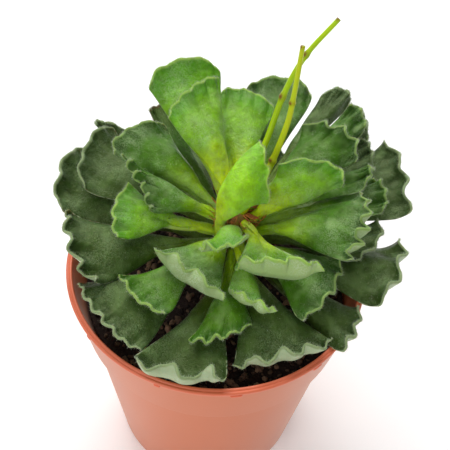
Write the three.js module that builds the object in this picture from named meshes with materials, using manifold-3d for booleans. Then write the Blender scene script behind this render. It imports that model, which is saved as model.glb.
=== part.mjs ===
// Potted crinkle-leaf succulent: a thin-walled nursery pot, its soil, a short stem with
// aerial roots, two flower stalks and thirty-eight wedge-shaped leaves with waved crests.
// Millimetres, z up, the origin at the middle of the underside of the pot.
import * as THREE from "three";
import { mergeVertices } from "three/addons/utils/BufferGeometryUtils.js";
import Module from "manifold-3d";

const wasm = await Module();
wasm.setup();

// Driving sizes of the pot
const RIM_HEIGHT = 50;
const RIM_RADIUS = 27.5;
const RIM_INSIDE = 26.2;
const BASE_RADIUS = 19.1;
const BODY_TOP_RADIUS = 24;
const COLLAR_FOOT_RADIUS = 25;
const COLLAR_FOOT = 37.4;
const WALL = 1.2;
const FLOOR = 1.4;
const DRAIN_RADIUS = 2.2;
const DRAIN_CIRCLE = 12;
const POT_SEGMENTS = 60;

// Driving sizes of the soil and the stem
const GAP = 0.3;
const SOIL_TOP = 43.2;
const STEM_FOOT = 38;
const STEM_TOP = 62.2;
const STEM_RADIUS = 2.5;
const STEM_TIP_RADIUS = 2.2;
const STEM_FOOT_RADIUS = 3.2;
const STEM_AXIS = [3, 2];

const COLOURS = {
  pot: 0xc9683f,
  soil: 0x3a2c22,
  stem: 0x8a6a3a,
  stalk: 0xb4cf2c,
  young: 0x78b02a,
  mid: 0x4a7d35,
  old: 0x5d7550,
};

// Closed body from rings of points, each ring counted the same way round
function ringBody(rings) {
  const count = rings[0].length;
  const points = [];
  const faces = [];
  for (const ring of rings) {
    points.push(...ring);
  }
  for (let r = 0; r + 1 < rings.length; r += 1) {
    for (let s = 0; s < count; s += 1) {
      const a = r * count + s;
      const b = r * count + ((s + 1) % count);
      faces.push([a, b, b + count], [a, b + count, a + count]);
    }
  }
  const foot = points.length;
  points.push(middle(rings[0]));
  points.push(middle(rings[rings.length - 1]));
  const last = (rings.length - 1) * count;
  for (let s = 0; s < count; s += 1) {
    const t = (s + 1) % count;
    faces.push([foot, t, s]);
    faces.push([foot + 1, last + s, last + t]);
  }
  return { points, faces };
}

function middle(ring) {
  const sum = [0, 0, 0];
  for (const p of ring) {
    sum[0] += p[0];
    sum[1] += p[1];
    sum[2] += p[2];
  }
  return sum.map((value) => value / ring.length);
}

// Round tapering shoot along a smooth line through the given points
function shoot(through, radiusAt, sides, steps, swell = () => 1) {
  const line = new THREE.CatmullRomCurve3(through.map((p) => new THREE.Vector3(...p)));
  const frames = line.computeFrenetFrames(steps, false);
  const rings = [];
  for (let i = 0; i <= steps; i += 1) {
    const t = i / steps;
    const p = line.getPointAt(t);
    const r = radiusAt(t) * swell(t);
    const ring = [];
    for (let s = 0; s < sides; s += 1) {
      const angle = (2 * Math.PI * s) / sides;
      const x = r * Math.cos(angle);
      const y = r * Math.sin(angle);
      const n = frames.normals[i];
      const b = frames.binormals[i];
      ring.push([p.x + x * n.x + y * b.x, p.y + x * n.y + y * b.y, p.z + x * n.z + y * b.z]);
    }
    rings.push(ring);
  }
  return ringBody(rings);
}

function toGeometry(body) {
  const geometry = new THREE.BufferGeometry();
  geometry.setAttribute("position", new THREE.Float32BufferAttribute(body.points.flat(), 3));
  geometry.setIndex(body.faces.flat());
  geometry.computeVertexNormals();
  return geometry;
}

function toManifold(body) {
  const mesh = new wasm.Mesh({
    numProp: 3,
    vertProperties: new Float32Array(body.points.flat()),
    triVerts: new Uint32Array(body.faces.flat()),
  });
  return new wasm.Manifold(mesh);
}

function fromManifold(solid) {
  const mesh = solid.getMesh();
  const points = [];
  for (let i = 0; i < mesh.vertProperties.length; i += mesh.numProp) {
    points.push([mesh.vertProperties[i], mesh.vertProperties[i + 1], mesh.vertProperties[i + 2]]);
  }
  const faces = [];
  for (let i = 0; i < mesh.triVerts.length; i += 3) {
    faces.push([mesh.triVerts[i], mesh.triVerts[i + 1], mesh.triVerts[i + 2]]);
  }
  return { points, faces };
}

function node(name, body, colour) {
  const material = new THREE.MeshStandardMaterial({ color: colour, roughness: 0.7 });
  const mesh = new THREE.Mesh(toGeometry(body), material);
  mesh.name = name;
  return mesh;
}

// Repeatable draws between 0 and 1
function draws(seed) {
  let state = seed;
  return () => {
    state = (state * 16807) % 2147483647;
    return state / 2147483647;
  };
}

// Points and triangles of a geometry with its shared corners merged
function bodyOf(geometry) {
  geometry.deleteAttribute("normal");
  geometry.deleteAttribute("uv");
  const merged = mergeVertices(geometry);
  const position = merged.getAttribute("position");
  const points = [];
  for (let i = 0; i < position.count; i += 1) {
    points.push([position.getX(i), position.getY(i), position.getZ(i)]);
  }
  const index = merged.getIndex().array;
  const faces = [];
  for (let i = 0; i < index.length; i += 3) {
    const [a, b, c] = [index[i], index[i + 1], index[i + 2]];
    if (a !== b && b !== c && c !== a) {
      faces.push([a, b, c]);
    }
  }
  return { points, faces };
}

// Body turned about the z axis from [radius, height] pairs that start and end on the axis
function turned(profile, segments) {
  const line = profile.map(([radius, height]) => new THREE.Vector2(radius, height));
  const geometry = new THREE.LatheGeometry(line, segments);
  return bodyOf(geometry.rotateX(Math.PI / 2).rotateZ(Math.PI / 2));
}

// Pot: one thin moulded shell, tapered body, taller flared collar, rounded lip,
// four drain holes in the flat base and a few moulding nubs on the lip
function makePot() {
  const shell = turned(
    [
      [0, 0],
      [BASE_RADIUS - 0.6, 0],
      [BASE_RADIUS, 0.6],
      [BODY_TOP_RADIUS, COLLAR_FOOT - 0.2],
      [COLLAR_FOOT_RADIUS, COLLAR_FOOT + 0.2],
      [RIM_RADIUS - 0.1, RIM_HEIGHT - 1.2],
      [RIM_RADIUS, RIM_HEIGHT - 0.5],
      [RIM_RADIUS - 0.4, RIM_HEIGHT],
      [RIM_INSIDE + 0.2, RIM_HEIGHT],
      [RIM_INSIDE, RIM_HEIGHT - 0.5],
      [COLLAR_FOOT_RADIUS - WALL, COLLAR_FOOT + 1.4],
      [BODY_TOP_RADIUS - WALL, COLLAR_FOOT + 0.6],
      [BASE_RADIUS - WALL + 0.2, FLOOR + 0.6],
      [BASE_RADIUS - WALL - 0.6, FLOOR],
      [0, FLOOR],
    ],
    POT_SEGMENTS,
  );
  let pot = toManifold(shell);
  for (let i = 0; i < 4; i += 1) {
    const angle = Math.PI / 4 + (i * Math.PI) / 2;
    const hole = new THREE.CylinderGeometry(DRAIN_RADIUS, DRAIN_RADIUS, 4, 16)
      .rotateX(Math.PI / 2)
      .translate(DRAIN_CIRCLE * Math.cos(angle), DRAIN_CIRCLE * Math.sin(angle), 1);
    pot = pot.subtract(toManifold(bodyOf(hole)));
  }
  for (const degrees of [-169, -140, -108, -80, -48, -19, 22, 61, 96, 135, 163]) {
    const nub = new THREE.BoxGeometry(1.2, 1.6, 0.7)
      .translate(RIM_RADIUS - 0.3, 0, RIM_HEIGHT - 1)
      .rotateZ((degrees * Math.PI) / 180);
    pot = pot.add(toManifold(bodyOf(nub)));
  }
  return fromManifold(pot);
}

// Soil: fills the pot to a few millimetres below the rim, uneven on top,
// with a plain hole for the foot of the stem
function makeSoil() {
  const hole = STEM_FOOT_RADIUS + GAP;
  const step = (BODY_TOP_RADIUS - BASE_RADIUS) / COLLAR_FOOT;
  const bodyInside = BASE_RADIUS - WALL - GAP;
  const collarInside = COLLAR_FOOT_RADIUS - WALL - GAP;
  const profile = [
    [0, FLOOR + GAP],
    [bodyInside - 0.5, FLOOR + GAP],
    [bodyInside + 3 * step - 0.1, 3],
    [bodyInside + 36 * step - 0.1, 36],
    [bodyInside + 36 * step - 0.1, COLLAR_FOOT + 1.4],
    [collarInside + 0.1, COLLAR_FOOT + 2.4],
    [collarInside + 0.6, SOIL_TOP - 0.8],
    [23.2, SOIL_TOP],
    [20.5, SOIL_TOP],
    [17.5, SOIL_TOP],
    [14, SOIL_TOP],
    [10.5, SOIL_TOP],
    [7, SOIL_TOP],
    [hole + 0.8, SOIL_TOP + 0.6],
    [hole, SOIL_TOP - 0.4],
    [hole, STEM_FOOT - GAP],
    [0, STEM_FOOT - GAP],
  ];
  const body = turned(profile, 40);
  const draw = draws(77);
  for (const point of body.points) {
    const radius = Math.hypot(point[0], point[1]);
    const inner = point[2] > SOIL_TOP - 0.5 || (point[2] > STEM_FOOT - 1 && radius < hole + 1);
    const loose = Math.abs(point[2] - SOIL_TOP) < 0.01;
    if (loose) {
      point[2] += 1.4 * (1 - radius / 24) + 1.1 * (draw() - 0.5);
    }
    const drift = inner ? Math.max(0, 1 - Math.max(0, radius - hole) / 20) : 0;
    point[0] += STEM_AXIS[0] * drift;
    point[1] += STEM_AXIS[1] * drift;
  }
  return body;
}

// The stem narrows over its last few millimetres
function stemRadiusAt(height) {
  const share = Math.min(1, Math.max(0, (height - 57) / 4));
  return STEM_RADIUS + share * (STEM_TIP_RADIUS - STEM_RADIUS);
}

// Stem: short knobbly trunk with aerial roots grown out of it
function makeStem() {
  const profile = [
    [0, STEM_FOOT],
    [STEM_FOOT_RADIUS - 0.6, STEM_FOOT],
    [STEM_FOOT_RADIUS - 0.1, STEM_FOOT + 1.5],
    [STEM_FOOT_RADIUS - 0.2, 43],
    [STEM_RADIUS + 0.2, 46.5],
    [STEM_RADIUS - 0.1, 50],
    [STEM_RADIUS, 54],
    [stemRadiusAt(57), 57],
    [stemRadiusAt(60), 60],
    [stemRadiusAt(61.2), 61.2],
    [STEM_TIP_RADIUS - 0.8, STEM_TOP],
    [0, STEM_TOP],
  ];
  const trunk = turned(profile, 14);
  const draw = draws(5);
  for (const point of trunk.points) {
    const wobble = 1 - 0.05 * draw();
    point[0] = STEM_AXIS[0] + point[0] * wobble;
    point[1] = STEM_AXIS[1] + point[1] * wobble;
  }
  let stem = toManifold(trunk);
  const roots = [
    [82, 61.2, 1.4, 2.2],
    [176, 61, 1.2, 1.9],
    [248, 61.4, 1, 2],
    [332, 61.5, 0.9, 2.2],
    [40, 47.5, 3.2, -2.6],
    [100, 48.2, 3.4, -3],
    [170, 47.2, 3, -2.4],
    [235, 48, 3.4, -2.8],
    [300, 47, 3.2, -2.6],
  ];
  for (const [degrees, height, reach, rise] of roots) {
    const angle = (degrees * Math.PI) / 180;
    const c = Math.cos(angle);
    const s = Math.sin(angle);
    const at = (radius, z) => [STEM_AXIS[0] + radius * c, STEM_AXIS[1] + radius * s, z];
    const path = [
      at(STEM_RADIUS - 1.6, height),
      at(STEM_RADIUS - 0.4, height + 0.2),
      at(STEM_RADIUS + reach * 0.6, height + rise * 0.35),
      at(STEM_RADIUS + reach, height + rise),
    ];
    stem = stem.add(toManifold(shoot(path, (t) => 0.42 - 0.22 * t, 5, 5)));
  }
  return fromManifold(stem);
}

// Flower stalks: bare, thin, leaning back, with slight swellings at the old flower scars
const STALKS = [
  {
    name: "flower_stalk_long",
    path: [
      [3.4, 3, 62.8],
      [4.4, 6.5, 65],
      [7.2, 12.6, 69],
      [9.5, 16.6, 76.5],
      [12.4, 18.6, 83.5],
      [17.2, 20.6, 90],
    ],
    scars: [0.36, 0.62, 0.82],
  },
  {
    name: "flower_stalk_short",
    path: [
      [4.2, 2, 62.8],
      [6.2, 4.2, 65.4],
      [8.4, 7.9, 69],
      [10.2, 10.2, 75.5],
      [10.8, 11.8, 80.5],
      [11.3, 14, 89],
    ],
    scars: [0.45, 0.78],
  },
];

function makeStalk(stalk) {
  const radius = (t) => 0.72 - 0.34 * t;
  const swell = (t) => {
    let factor = 1;
    for (const scar of stalk.scars) {
      factor += 0.22 * Math.exp(-(((t - scar) / 0.018) ** 2));
    }
    return factor;
  };
  return shoot(stalk.path, radius, 8, 26, swell);
}

// Leaves. Each grows from the stem at height `at`; `left` and `right` are the two corners
// of its crest seen from the stem. `bulge` is how far the crest stands out beyond the line
// between the corners, `arch` how far the leaf bows upward and `petiole` the stalked share
// of its length. `wedge` and `flare` shape its widening towards the crest. Its last stretch,
// `roll` long, turns up through the angle `cup`. `waves` and `wave` are the count and half
// height of the crest's undulations, `scallop` how much of them runs along the leaf, and
// `phase` their shift. `round` draws the corners back and `horn` lets them stand up. `turn`
// swings the leaf's foot round the stem. `pinch` shortens the turned-up stretch at the
// corners and `sag` hollows the blade. Angles are in degrees.
const LEAVES = [
  {
    name: "leaf_01_inner_back_left", tone: "young", at: 61.6,
    left: [-11, 15, 71], right: [-2.5, 24.5, 73],
    bulge: 1, arch: 1.5, waves: 5, wave: 0.45, petiole: 0.15, wedge: 0.95, flare: 0.3,
  },
  {
    name: "leaf_02_inner_back", tone: "young", at: 59.3,
    left: [-2.5, 28, 65.5], right: [8.5, 24.5, 67],
    bulge: 1.5, arch: 1.5, waves: 4, wave: 0.5, petiole: 0.15, wedge: 0.85,
  },
  {
    name: "leaf_03_centre_upright", tone: "young", at: 58.9,
    left: [6.5, 9, 73], right: [8.5, 0.5, 67],
    bulge: 1, arch: 4.8, waves: 3, wave: 0.4, petiole: 0.2, wedge: 0.7, turn: -175, flare: 0,
  },
  {
    name: "leaf_04_inner_right", tone: "young", at: 61.2,
    left: [10.5, 7.5, 70], right: [21.5, 5.5, 67.5],
    bulge: 2.5, arch: 1, waves: 4, wave: 0.5, petiole: 0.1, wedge: 0.85, turn: -25, round: 1.5,
  },
  {
    name: "leaf_05_upper_right", tone: "mid", at: 61.8,
    left: [14.5, 17.5, 69], right: [24, 10.5, 67],
    bulge: 3, arch: 1, waves: 4, wave: 0.7, petiole: 0.25, wedge: 1.5, scallop: 0.7, cup: 50,
    round: 1.5, flare: 0.5,
  },
  {
    name: "leaf_06_behind_upper_right", tone: "mid", at: 60,
    left: [23.5, 27.5, 66], right: [26, 22, 63.5],
    bulge: 1, arch: 1, waves: 3, wave: 0.6, turn: 5, petiole: 0.3, flare: 0.5, round: 1.5,
    wedge: 1.3,
  },
  {
    name: "leaf_07_right_back_low", tone: "old", at: 55.7,
    left: [26, 23.5, 61], right: [28, 17, 59.5],
    bulge: 1, arch: 1, waves: 3, wave: 0.6, round: 1.5, flare: 0.8,
  },
  {
    name: "leaf_08_outer_back_right", tone: "old", at: 57.6,
    left: [18, 31, 65], right: [24, 30.5, 64.5],
    bulge: 1.5, arch: 1, waves: 3, wave: 0.4, wedge: 1.5, flare: 0.3, petiole: 0.3, round: 1.5,
  },
  {
    name: "leaf_09_outer_right_back", tone: "old", at: 52,
    left: [25, 35, 59.5], right: [28.5, 26.5, 57.5],
    bulge: 1, arch: 1, waves: 3, wave: 0.6, flare: 0.8,
  },
  {
    name: "leaf_10_outer_right", tone: "old", at: 53.8,
    left: [31.5, 26, 58], right: [35, 8.5, 55.5],
    bulge: 1.5, arch: 1, waves: 3, wave: 1, cup: 60, scallop: 0.4,
  },
  {
    name: "leaf_11_right_small", tone: "mid", at: 59.3,
    left: [26.5, 12.5, 64.5], right: [25, 7.5, 63.5],
    bulge: 1, arch: 1, waves: 3, wave: 0.5, turn: -4,
  },
  {
    name: "leaf_12_right_long", tone: "mid", at: 57.4,
    left: [27.5, 12.5, 61], right: [29, 5.5, 60],
    bulge: 1.5, arch: 1, waves: 4, wave: 0.6, turn: 5,
  },
  {
    name: "leaf_13_large_right", tone: "mid", at: 57.8,
    left: [25.5, 4.5, 64.5], right: [22.5, -8.5, 62],
    bulge: 2, arch: 1.5, waves: 5, wave: 0.9, petiole: 0.2, wedge: 0.9, cup: 60, scallop: 0.6,
    turn: -6, roll: 4,
  },
  {
    name: "leaf_14_front_right", tone: "mid", at: 56,
    left: [22, -3, 56], right: [14.5, -16, 54.5],
    bulge: 2, arch: 1.5, waves: 4, wave: 0.6, horn: 0.8, cup: 35,
  },
  {
    name: "leaf_15_outer_front_right", tone: "old", at: 52.5,
    left: [34, 4.5, 52], right: [28, -11, 52],
    bulge: 2, arch: 1.5, waves: 3, wave: 0.9, cup: 65, scallop: 0.4,
  },
  {
    name: "leaf_16_rim_front_right", tone: "old", at: 51.3,
    left: [25.5, -10.5, 51], right: [22, -19.5, 50.5],
    bulge: 1, arch: 0.5, waves: 3, wave: 0.6, cup: 60,
  },
  {
    name: "leaf_17_rim_front", tone: "old", at: 53.6,
    left: [20.5, -18.5, 51.5], right: [4, -23, 49.5],
    bulge: 0.8, arch: 1.5, waves: 4, wave: 0.75, cup: 90, scallop: 0.6, roll: 4.8, phase: 0.13,
    pinch: 0.5, sag: 0.6,
  },
  {
    name: "leaf_18_rim_front_left", tone: "old", at: 51.4,
    left: [3, -26.5, 50], right: [-12.5, -25, 50],
    bulge: 1, arch: 1, waves: 3, wave: 1, cup: 95, scallop: 0.6, roll: 6, phase: 0.44, pinch: 0.7,
  },
  {
    name: "leaf_19_rim_left_front", tone: "old", at: 52.6,
    left: [-11.5, -23, 52.5], right: [-23.5, -10.5, 53.5],
    bulge: 1.5, arch: 1.5, waves: 6, wave: 0.35, cup: 65, roll: 3,
  },
  {
    name: "leaf_20_rim_left", tone: "old", at: 54,
    left: [-21.5, -12, 55], right: [-27.5, 1, 58],
    bulge: 1.5, arch: 1, waves: 4, wave: 0.8, cup: 60, scallop: 0.6, flare: 0.9,
  },
  {
    name: "leaf_21_outer_left", tone: "old", at: 51.5,
    left: [-30, 4.5, 55.5], right: [-28, 19, 58],
    bulge: 1.7, arch: -1, waves: 3, wave: 0.5, cup: 45, round: 2,
  },
  {
    name: "leaf_22_left_back", tone: "old", at: 55.3,
    left: [-26.5, 7.5, 59], right: [-23, 21, 62],
    bulge: 1.2, arch: 0, waves: 4, wave: 0.5, cup: 40, round: 2,
  },
  {
    name: "leaf_23_back_left_small", tone: "old", at: 53,
    left: [-25.5, 23, 59.5], right: [-20, 23, 59.5],
    bulge: 1.5, arch: 0, waves: 3, wave: 0.6,
  },
  {
    name: "leaf_24_left", tone: "mid", at: 59.9,
    left: [-12.5, -0.5, 63.5], right: [-18.5, 8, 66.5],
    bulge: -1, arch: 0.6, waves: 5, wave: 0.7, petiole: 0.25, wedge: 0.8, cup: 15, scallop: 1,
    turn: 4, flare: 0.7,
  },
  {
    name: "leaf_25_upper_left", tone: "mid", at: 58.9,
    left: [-21, 11.5, 64.5], right: [-12.5, 18, 67],
    bulge: 1.3, arch: 1, waves: 4, wave: 0.6, petiole: 0.2, wedge: 0.9, round: 1.5,
  },
  {
    name: "leaf_26_inner_left", tone: "young", at: 56.6,
    left: [-17, -6.5, 61], right: [-16.5, 5.5, 62],
    bulge: 2, arch: 1, waves: 4, wave: 0.4, petiole: 0.5, flare: 0.3, turn: 4, horn: 0.6,
  },
  {
    name: "leaf_27_upper_front_left", tone: "mid", at: 57,
    left: [0.5, -16.5, 58], right: [-11.5, -8.5, 60.5],
    bulge: -0.5, arch: 1, waves: 3, wave: 0.8, petiole: 0.1, wedge: 0.85, cup: 95, roll: 4.5,
    pinch: 0.5, sag: 1,
  },
  {
    name: "leaf_28_small_front_left", tone: "young", at: 55,
    left: [-8, -18, 56], right: [-16, -11.5, 57],
    bulge: 1, arch: 1, waves: 4, wave: 0.3, horn: 0.9, cup: 30, petiole: 0.35, flare: 0.7,
  },
  {
    name: "leaf_29_centre_small", tone: "young", at: 59.4,
    left: [5, -8.5, 65], right: [-3, -10, 63],
    bulge: 0.5, arch: 1.3, waves: 3, wave: 0.5, turn: 18, cup: 25,
  },
  {
    name: "leaf_30_inner_front_right", tone: "young", at: 60.8,
    left: [17.5, -10, 58.5], right: [3, -10.5, 60],
    bulge: -0.3, arch: 1.5, waves: 4, wave: 0.7, petiole: 0.3, cup: 100, turn: 6, roll: 6,
    phase: 0.8, pinch: 0.75, sag: 2.2,
  },
  {
    name: "leaf_31_small_front", tone: "young", at: 57.2,
    left: [9, -16.5, 55.5], right: [2, -13.5, 58.5],
    bulge: 0.5, arch: 1, waves: 3, wave: 0.5, cup: 70, horn: 0.5, petiole: 0.35, roll: 3.5,
  },
  {
    name: "leaf_32_front", tone: "young", at: 55.4,
    left: [6.5, -16.5, 53.5], right: [-3.5, -20.5, 53],
    bulge: 1.5, arch: 1.5, waves: 4, wave: 0.5, cup: 35, petiole: 0.42, flare: 0.8, horn: 0.8,
  },
  {
    name: "leaf_33_outer_back", tone: "mid", at: 55.6,
    left: [3.5, 33, 65], right: [16.5, 32, 64.5],
    bulge: 1.8, arch: 1, waves: 3, wave: 0.6, wedge: 0.8, round: 2, flare: 0.5, petiole: 0.15,
  },
  {
    name: "leaf_34_outer_back_left", tone: "young", at: 57.4,
    left: [-15.5, 24, 71], right: [-2.5, 29.5, 72],
    bulge: 2.2, arch: 0, waves: 4, wave: 0.35, scallop: 0.6, round: 2, wedge: 1.4, flare: 0.6,
  },
  {
    name: "leaf_35_withered_back_left", tone: "old", at: 54.8,
    left: [-15.5, 25.5, 62], right: [-11.5, 27.5, 62],
    bulge: 0.5, arch: 0, waves: 3, wave: 0.5, thick: 1.6, turn: -4,
  },
  {
    name: "leaf_36_low_back", tone: "old", at: 53,
    left: [0.5, 27, 53], right: [12.5, 25.5, 53],
    bulge: 2.5, arch: 1, waves: 4, wave: 0.6,
  },
  {
    name: "leaf_37_low_back_left", tone: "old", at: 51.2,
    left: [-15, 21.5, 52.5], right: [-4, 26.5, 52.5],
    bulge: 2, arch: 1, waves: 4, wave: 0.6,
  },
  {
    name: "leaf_38_right_low", tone: "old", at: 55.2,
    left: [29.5, 5.5, 56], right: [24.5, -3.5, 55.5],
    bulge: 1.5, arch: 1, waves: 3, wave: 0.6, cup: 30,
  },
];

// Rows of points along a leaf as shares of its length, with the spans across the first
// four; the crest rows take four spans for every wave
const LEAF_ROWS = [
  [0, 4],
  [0.22, 4],
  [0.45, 6],
  [0.68, 8],
  [0.82, 0],
  [0.92, 0],
  [1, 0],
];
const SPANS_PER_WAVE = 4;
const PETIOLE_RADIUS = 0.9;
const LEAF_THICK = 2.4;
const CREST_LIP = 1;
const EDGE_HALF = 0.4;
const CORNER_SWEEP = 52;
const RIPPLE_START = 0.7;

// Middle surface of a leaf at u along it and v across it
function leafSurface(leaf, calm) {
  const sweep = (CORNER_SWEEP * Math.PI) / 180;
  const left = new THREE.Vector3(...leaf.left);
  const right = new THREE.Vector3(...leaf.right);
  const crest = left.clone().add(right).multiplyScalar(0.5);
  const bearing = Math.atan2(crest.y - STEM_AXIS[1], crest.x - STEM_AXIS[0])
    + ((leaf.turn ?? 0) * Math.PI) / 180;
  const flat = Math.hypot(crest.x - STEM_AXIS[0], crest.y - STEM_AXIS[1]);
  const steep = Math.sin(Math.atan2(crest.z - leaf.at, flat));
  const off = stemRadiusAt(leaf.at) + GAP + PETIOLE_RADIUS * Math.max(0, steep);
  const foot = new THREE.Vector3(
    STEM_AXIS[0] + off * Math.cos(bearing),
    STEM_AXIS[1] + off * Math.sin(bearing),
    leaf.at,
  );
  const along = crest.clone().sub(foot);
  const length = along.length();
  along.divideScalar(length);
  const half = right.clone().sub(left).multiplyScalar(0.5);
  const skew = half.dot(along);
  const across = half.clone().addScaledVector(along, -skew);
  const width = across.length();
  across.divideScalar(width);
  const up = across.clone().cross(along);
  const petiole = leaf.petiole ?? 0.25;
  const wedge = leaf.wedge ?? 1;
  const flare = leaf.flare ?? 0.5;
  const cup = ((leaf.cup ?? 20) * Math.PI) / 180;
  const wholeRoll = (leaf.roll ?? 5) / length;
  const drawn = leaf.horn ? 0 : leaf.round ?? 0.8;
  const seed = leaf.left[0];
  return (u, v) => {
    const swing = Math.sin(sweep * v) / Math.sin(sweep);
    const swell = (Math.cos(sweep * v) - Math.cos(sweep)) / (1 - Math.cos(sweep));
    const s = Math.max(0, (u - petiole) / (1 - petiole));
    const spread = (1 - flare) * s ** wedge + flare * Math.sin((Math.PI / 2) * s ** 1.6);
    const narrow = PETIOLE_RADIUS / width;
    const wide = (narrow + (1 - narrow) * spread) * width * swing;
    const roll = wholeRoll * (1 - (leaf.pinch ?? 0) * v * v);
    const scale = 1 / (1 - roll + (roll * Math.sin(cup)) / cup);
    const reach = (length + swing * skew + leaf.bulge * swell) * scale;
    const bend = cup * Math.max(0, (u - 1 + roll) / roll);
    const near = Math.max(0, (u - RIPPLE_START) / (1 - RIPPLE_START));
    const turn = Math.PI * (leaf.waves * (v + 1) + 2 * (leaf.phase ?? 0))
      + 0.4 * Math.sin(2.7 * v + seed);
    const uneven = 0.85 + 0.3 * Math.sin(3.1 * v + seed);
    const ripple = near * near * leaf.wave * uneven * calm;
    const high = ripple * (1 + Math.sin(turn));
    const forth = (leaf.scallop ?? 0.4) * ripple * Math.cos(turn) - drawn * near ** 2 * v ** 4;
    const horn = (leaf.horn ?? 0) * near ** 3 * v ** 10;
    const far = reach * (Math.min(u, 1 - roll) + (roll * Math.sin(bend)) / cup)
      + forth * Math.cos(bend) - high * Math.sin(bend) + 0.6 * horn;
    const sag = (leaf.sag ?? 0) * (1 - v * v) * Math.sin(Math.PI * u ** 2.4);
    const level = ((reach / scale) * (wholeRoll - roll) * (1 - Math.cos(cup)) * u * u) / cup;
    const lift = leaf.arch * 4 * u * (1 - u) + (reach * roll * (1 - Math.cos(bend))) / cup
      + level - sag + forth * Math.sin(bend) + high * Math.cos(bend) + horn;
    return foot.clone()
      .addScaledVector(along, far)
      .addScaledVector(across, wide)
      .addScaledVector(up, lift);
  };
}

// Half the thickness of the leaf at u along it and v across it
function leafHalf(leaf, u, v) {
  const petiole = leaf.petiole ?? 0.25;
  const s = Math.max(0, (u - petiole) / (1 - petiole));
  const body = (leaf.thick ?? LEAF_THICK) / 2;
  const knots = [
    [0, PETIOLE_RADIUS],
    [0.35, body],
    [0.7, body * 0.8],
    [0.9, CREST_LIP * 0.6],
    [1, CREST_LIP / 2],
  ];
  let deep = knots[0][1];
  for (let i = 0; i + 1 < knots.length; i += 1) {
    const [a, b] = [knots[i], knots[i + 1]];
    if (s >= a[0]) {
      deep = a[1] + ((b[1] - a[1]) * Math.min(1, (s - a[0]) / (b[0] - a[0])));
    }
  }
  return EDGE_HALF + (deep - EDGE_HALF) * Math.sqrt(Math.max(0, 1 - v * v));
}

function makeLeaf(leaf) {
  const surface = leafSurface(leaf, 1);
  const calm = leafSurface(leaf, 0.6);
  const step = 0.001;
  const top = [];
  const under = [];
  const rows = [];
  for (const [u, few] of LEAF_ROWS) {
    const spans = few || SPANS_PER_WAVE * leaf.waves;
    const row = [];
    for (let i = 0; i <= spans; i += 1) {
      const v = (2 * i) / spans - 1;
      const ahead = calm(Math.min(1, u + step), v).sub(calm(Math.max(0, u - step), v));
      const aside = calm(u, Math.min(1, v + step)).sub(calm(u, Math.max(-1, v - step)));
      const normal = aside.cross(ahead).normalize().multiplyScalar(leafHalf(leaf, u, v));
      const p = surface(u, v);
      row.push(top.length);
      top.push([p.x + normal.x, p.y + normal.y, p.z + normal.z]);
      under.push([p.x - normal.x, p.y - normal.y, p.z - normal.z]);
    }
    rows.push(row);
  }
  const shift = top.length;
  const faces = [];
  const both = (a, b, c) => {
    faces.push([a, b, c]);
    faces.push([c + shift, b + shift, a + shift]);
  };
  for (let r = 0; r + 1 < rows.length; r += 1) {
    const near = rows[r];
    const far = rows[r + 1];
    let i = 0;
    let j = 0;
    while (i + 1 < near.length || j + 1 < far.length) {
      const nextNear = (i + 1) / (near.length - 1);
      const nextFar = (j + 1) / (far.length - 1);
      const takeNear = j + 1 === far.length
        || (i + 1 < near.length && (nextNear < nextFar - 1e-9
          || (Math.abs(nextNear - nextFar) < 1e-9 && (r + j) % 2 === 0)));
      if (takeNear) {
        both(near[i], near[i + 1], far[j]);
        i += 1;
      } else {
        both(near[i], far[j + 1], far[j]);
        j += 1;
      }
    }
  }
  const last = rows[rows.length - 1];
  const loop = [
    ...rows[0],
    ...rows.slice(1).map((row) => row[row.length - 1]),
    ...[...last].reverse().slice(1),
    ...rows.slice(1, -1).reverse().map((row) => row[0]),
  ];
  for (let i = 0; i < loop.length; i += 1) {
    const a = loop[i];
    const b = loop[(i + 1) % loop.length];
    faces.push([a, a + shift, b]);
    faces.push([b, a + shift, b + shift]);
  }
  return { points: [...top, ...under], faces };
}

const plant = new THREE.Group();
plant.name = "potted_crinkle_leaf_plant";
plant.add(node("pot", makePot(), COLOURS.pot));
plant.add(node("soil", makeSoil(), COLOURS.soil));
plant.add(node("stem", makeStem(), COLOURS.stem));
for (const stalk of STALKS) {
  plant.add(node(stalk.name, makeStalk(stalk), COLOURS.stalk));
}
for (const leaf of LEAVES) {
  plant.add(node(leaf.name, makeLeaf(leaf), COLOURS[leaf.tone]));
}

export default plant;
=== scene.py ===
import bmesh
import bpy
import numpy as np
from mathutils import Matrix


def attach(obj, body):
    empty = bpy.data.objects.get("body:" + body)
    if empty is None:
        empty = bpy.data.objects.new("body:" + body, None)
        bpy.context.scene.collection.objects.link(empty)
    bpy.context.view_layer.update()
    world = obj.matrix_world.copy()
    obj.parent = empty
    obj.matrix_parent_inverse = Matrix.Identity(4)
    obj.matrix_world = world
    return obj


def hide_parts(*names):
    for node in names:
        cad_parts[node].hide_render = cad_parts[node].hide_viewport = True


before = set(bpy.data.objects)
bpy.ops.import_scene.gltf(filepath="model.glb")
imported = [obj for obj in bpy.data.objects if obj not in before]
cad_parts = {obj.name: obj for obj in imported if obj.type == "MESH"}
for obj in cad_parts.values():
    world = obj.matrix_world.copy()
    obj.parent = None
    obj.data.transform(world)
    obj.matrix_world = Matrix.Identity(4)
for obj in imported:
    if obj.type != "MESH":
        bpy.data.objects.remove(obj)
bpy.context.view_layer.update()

# Pot: one injection-moulded shell, a tapered body under a flared collar, with a thin stepped
# lip and four drain holes. It is terracotta-coloured polypropylene, under 1.5 mm thick, and it
# stands on its flat floor.
MM = 0.001
AROUND = 192
RIM_HEIGHT = 50
RIM_RADIUS = 27.5
RIM_INSIDE = 26.2
BASE_RADIUS = 19.1
BODY_TOP_RADIUS = 24
COLLAR_FOOT_RADIUS = 25
COLLAR_FOOT = 37.4
WALL = 1.2
FLOOR = 1.4
DRAIN_RADIUS = 2.2
DRAIN_CIRCLE = 12
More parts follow.
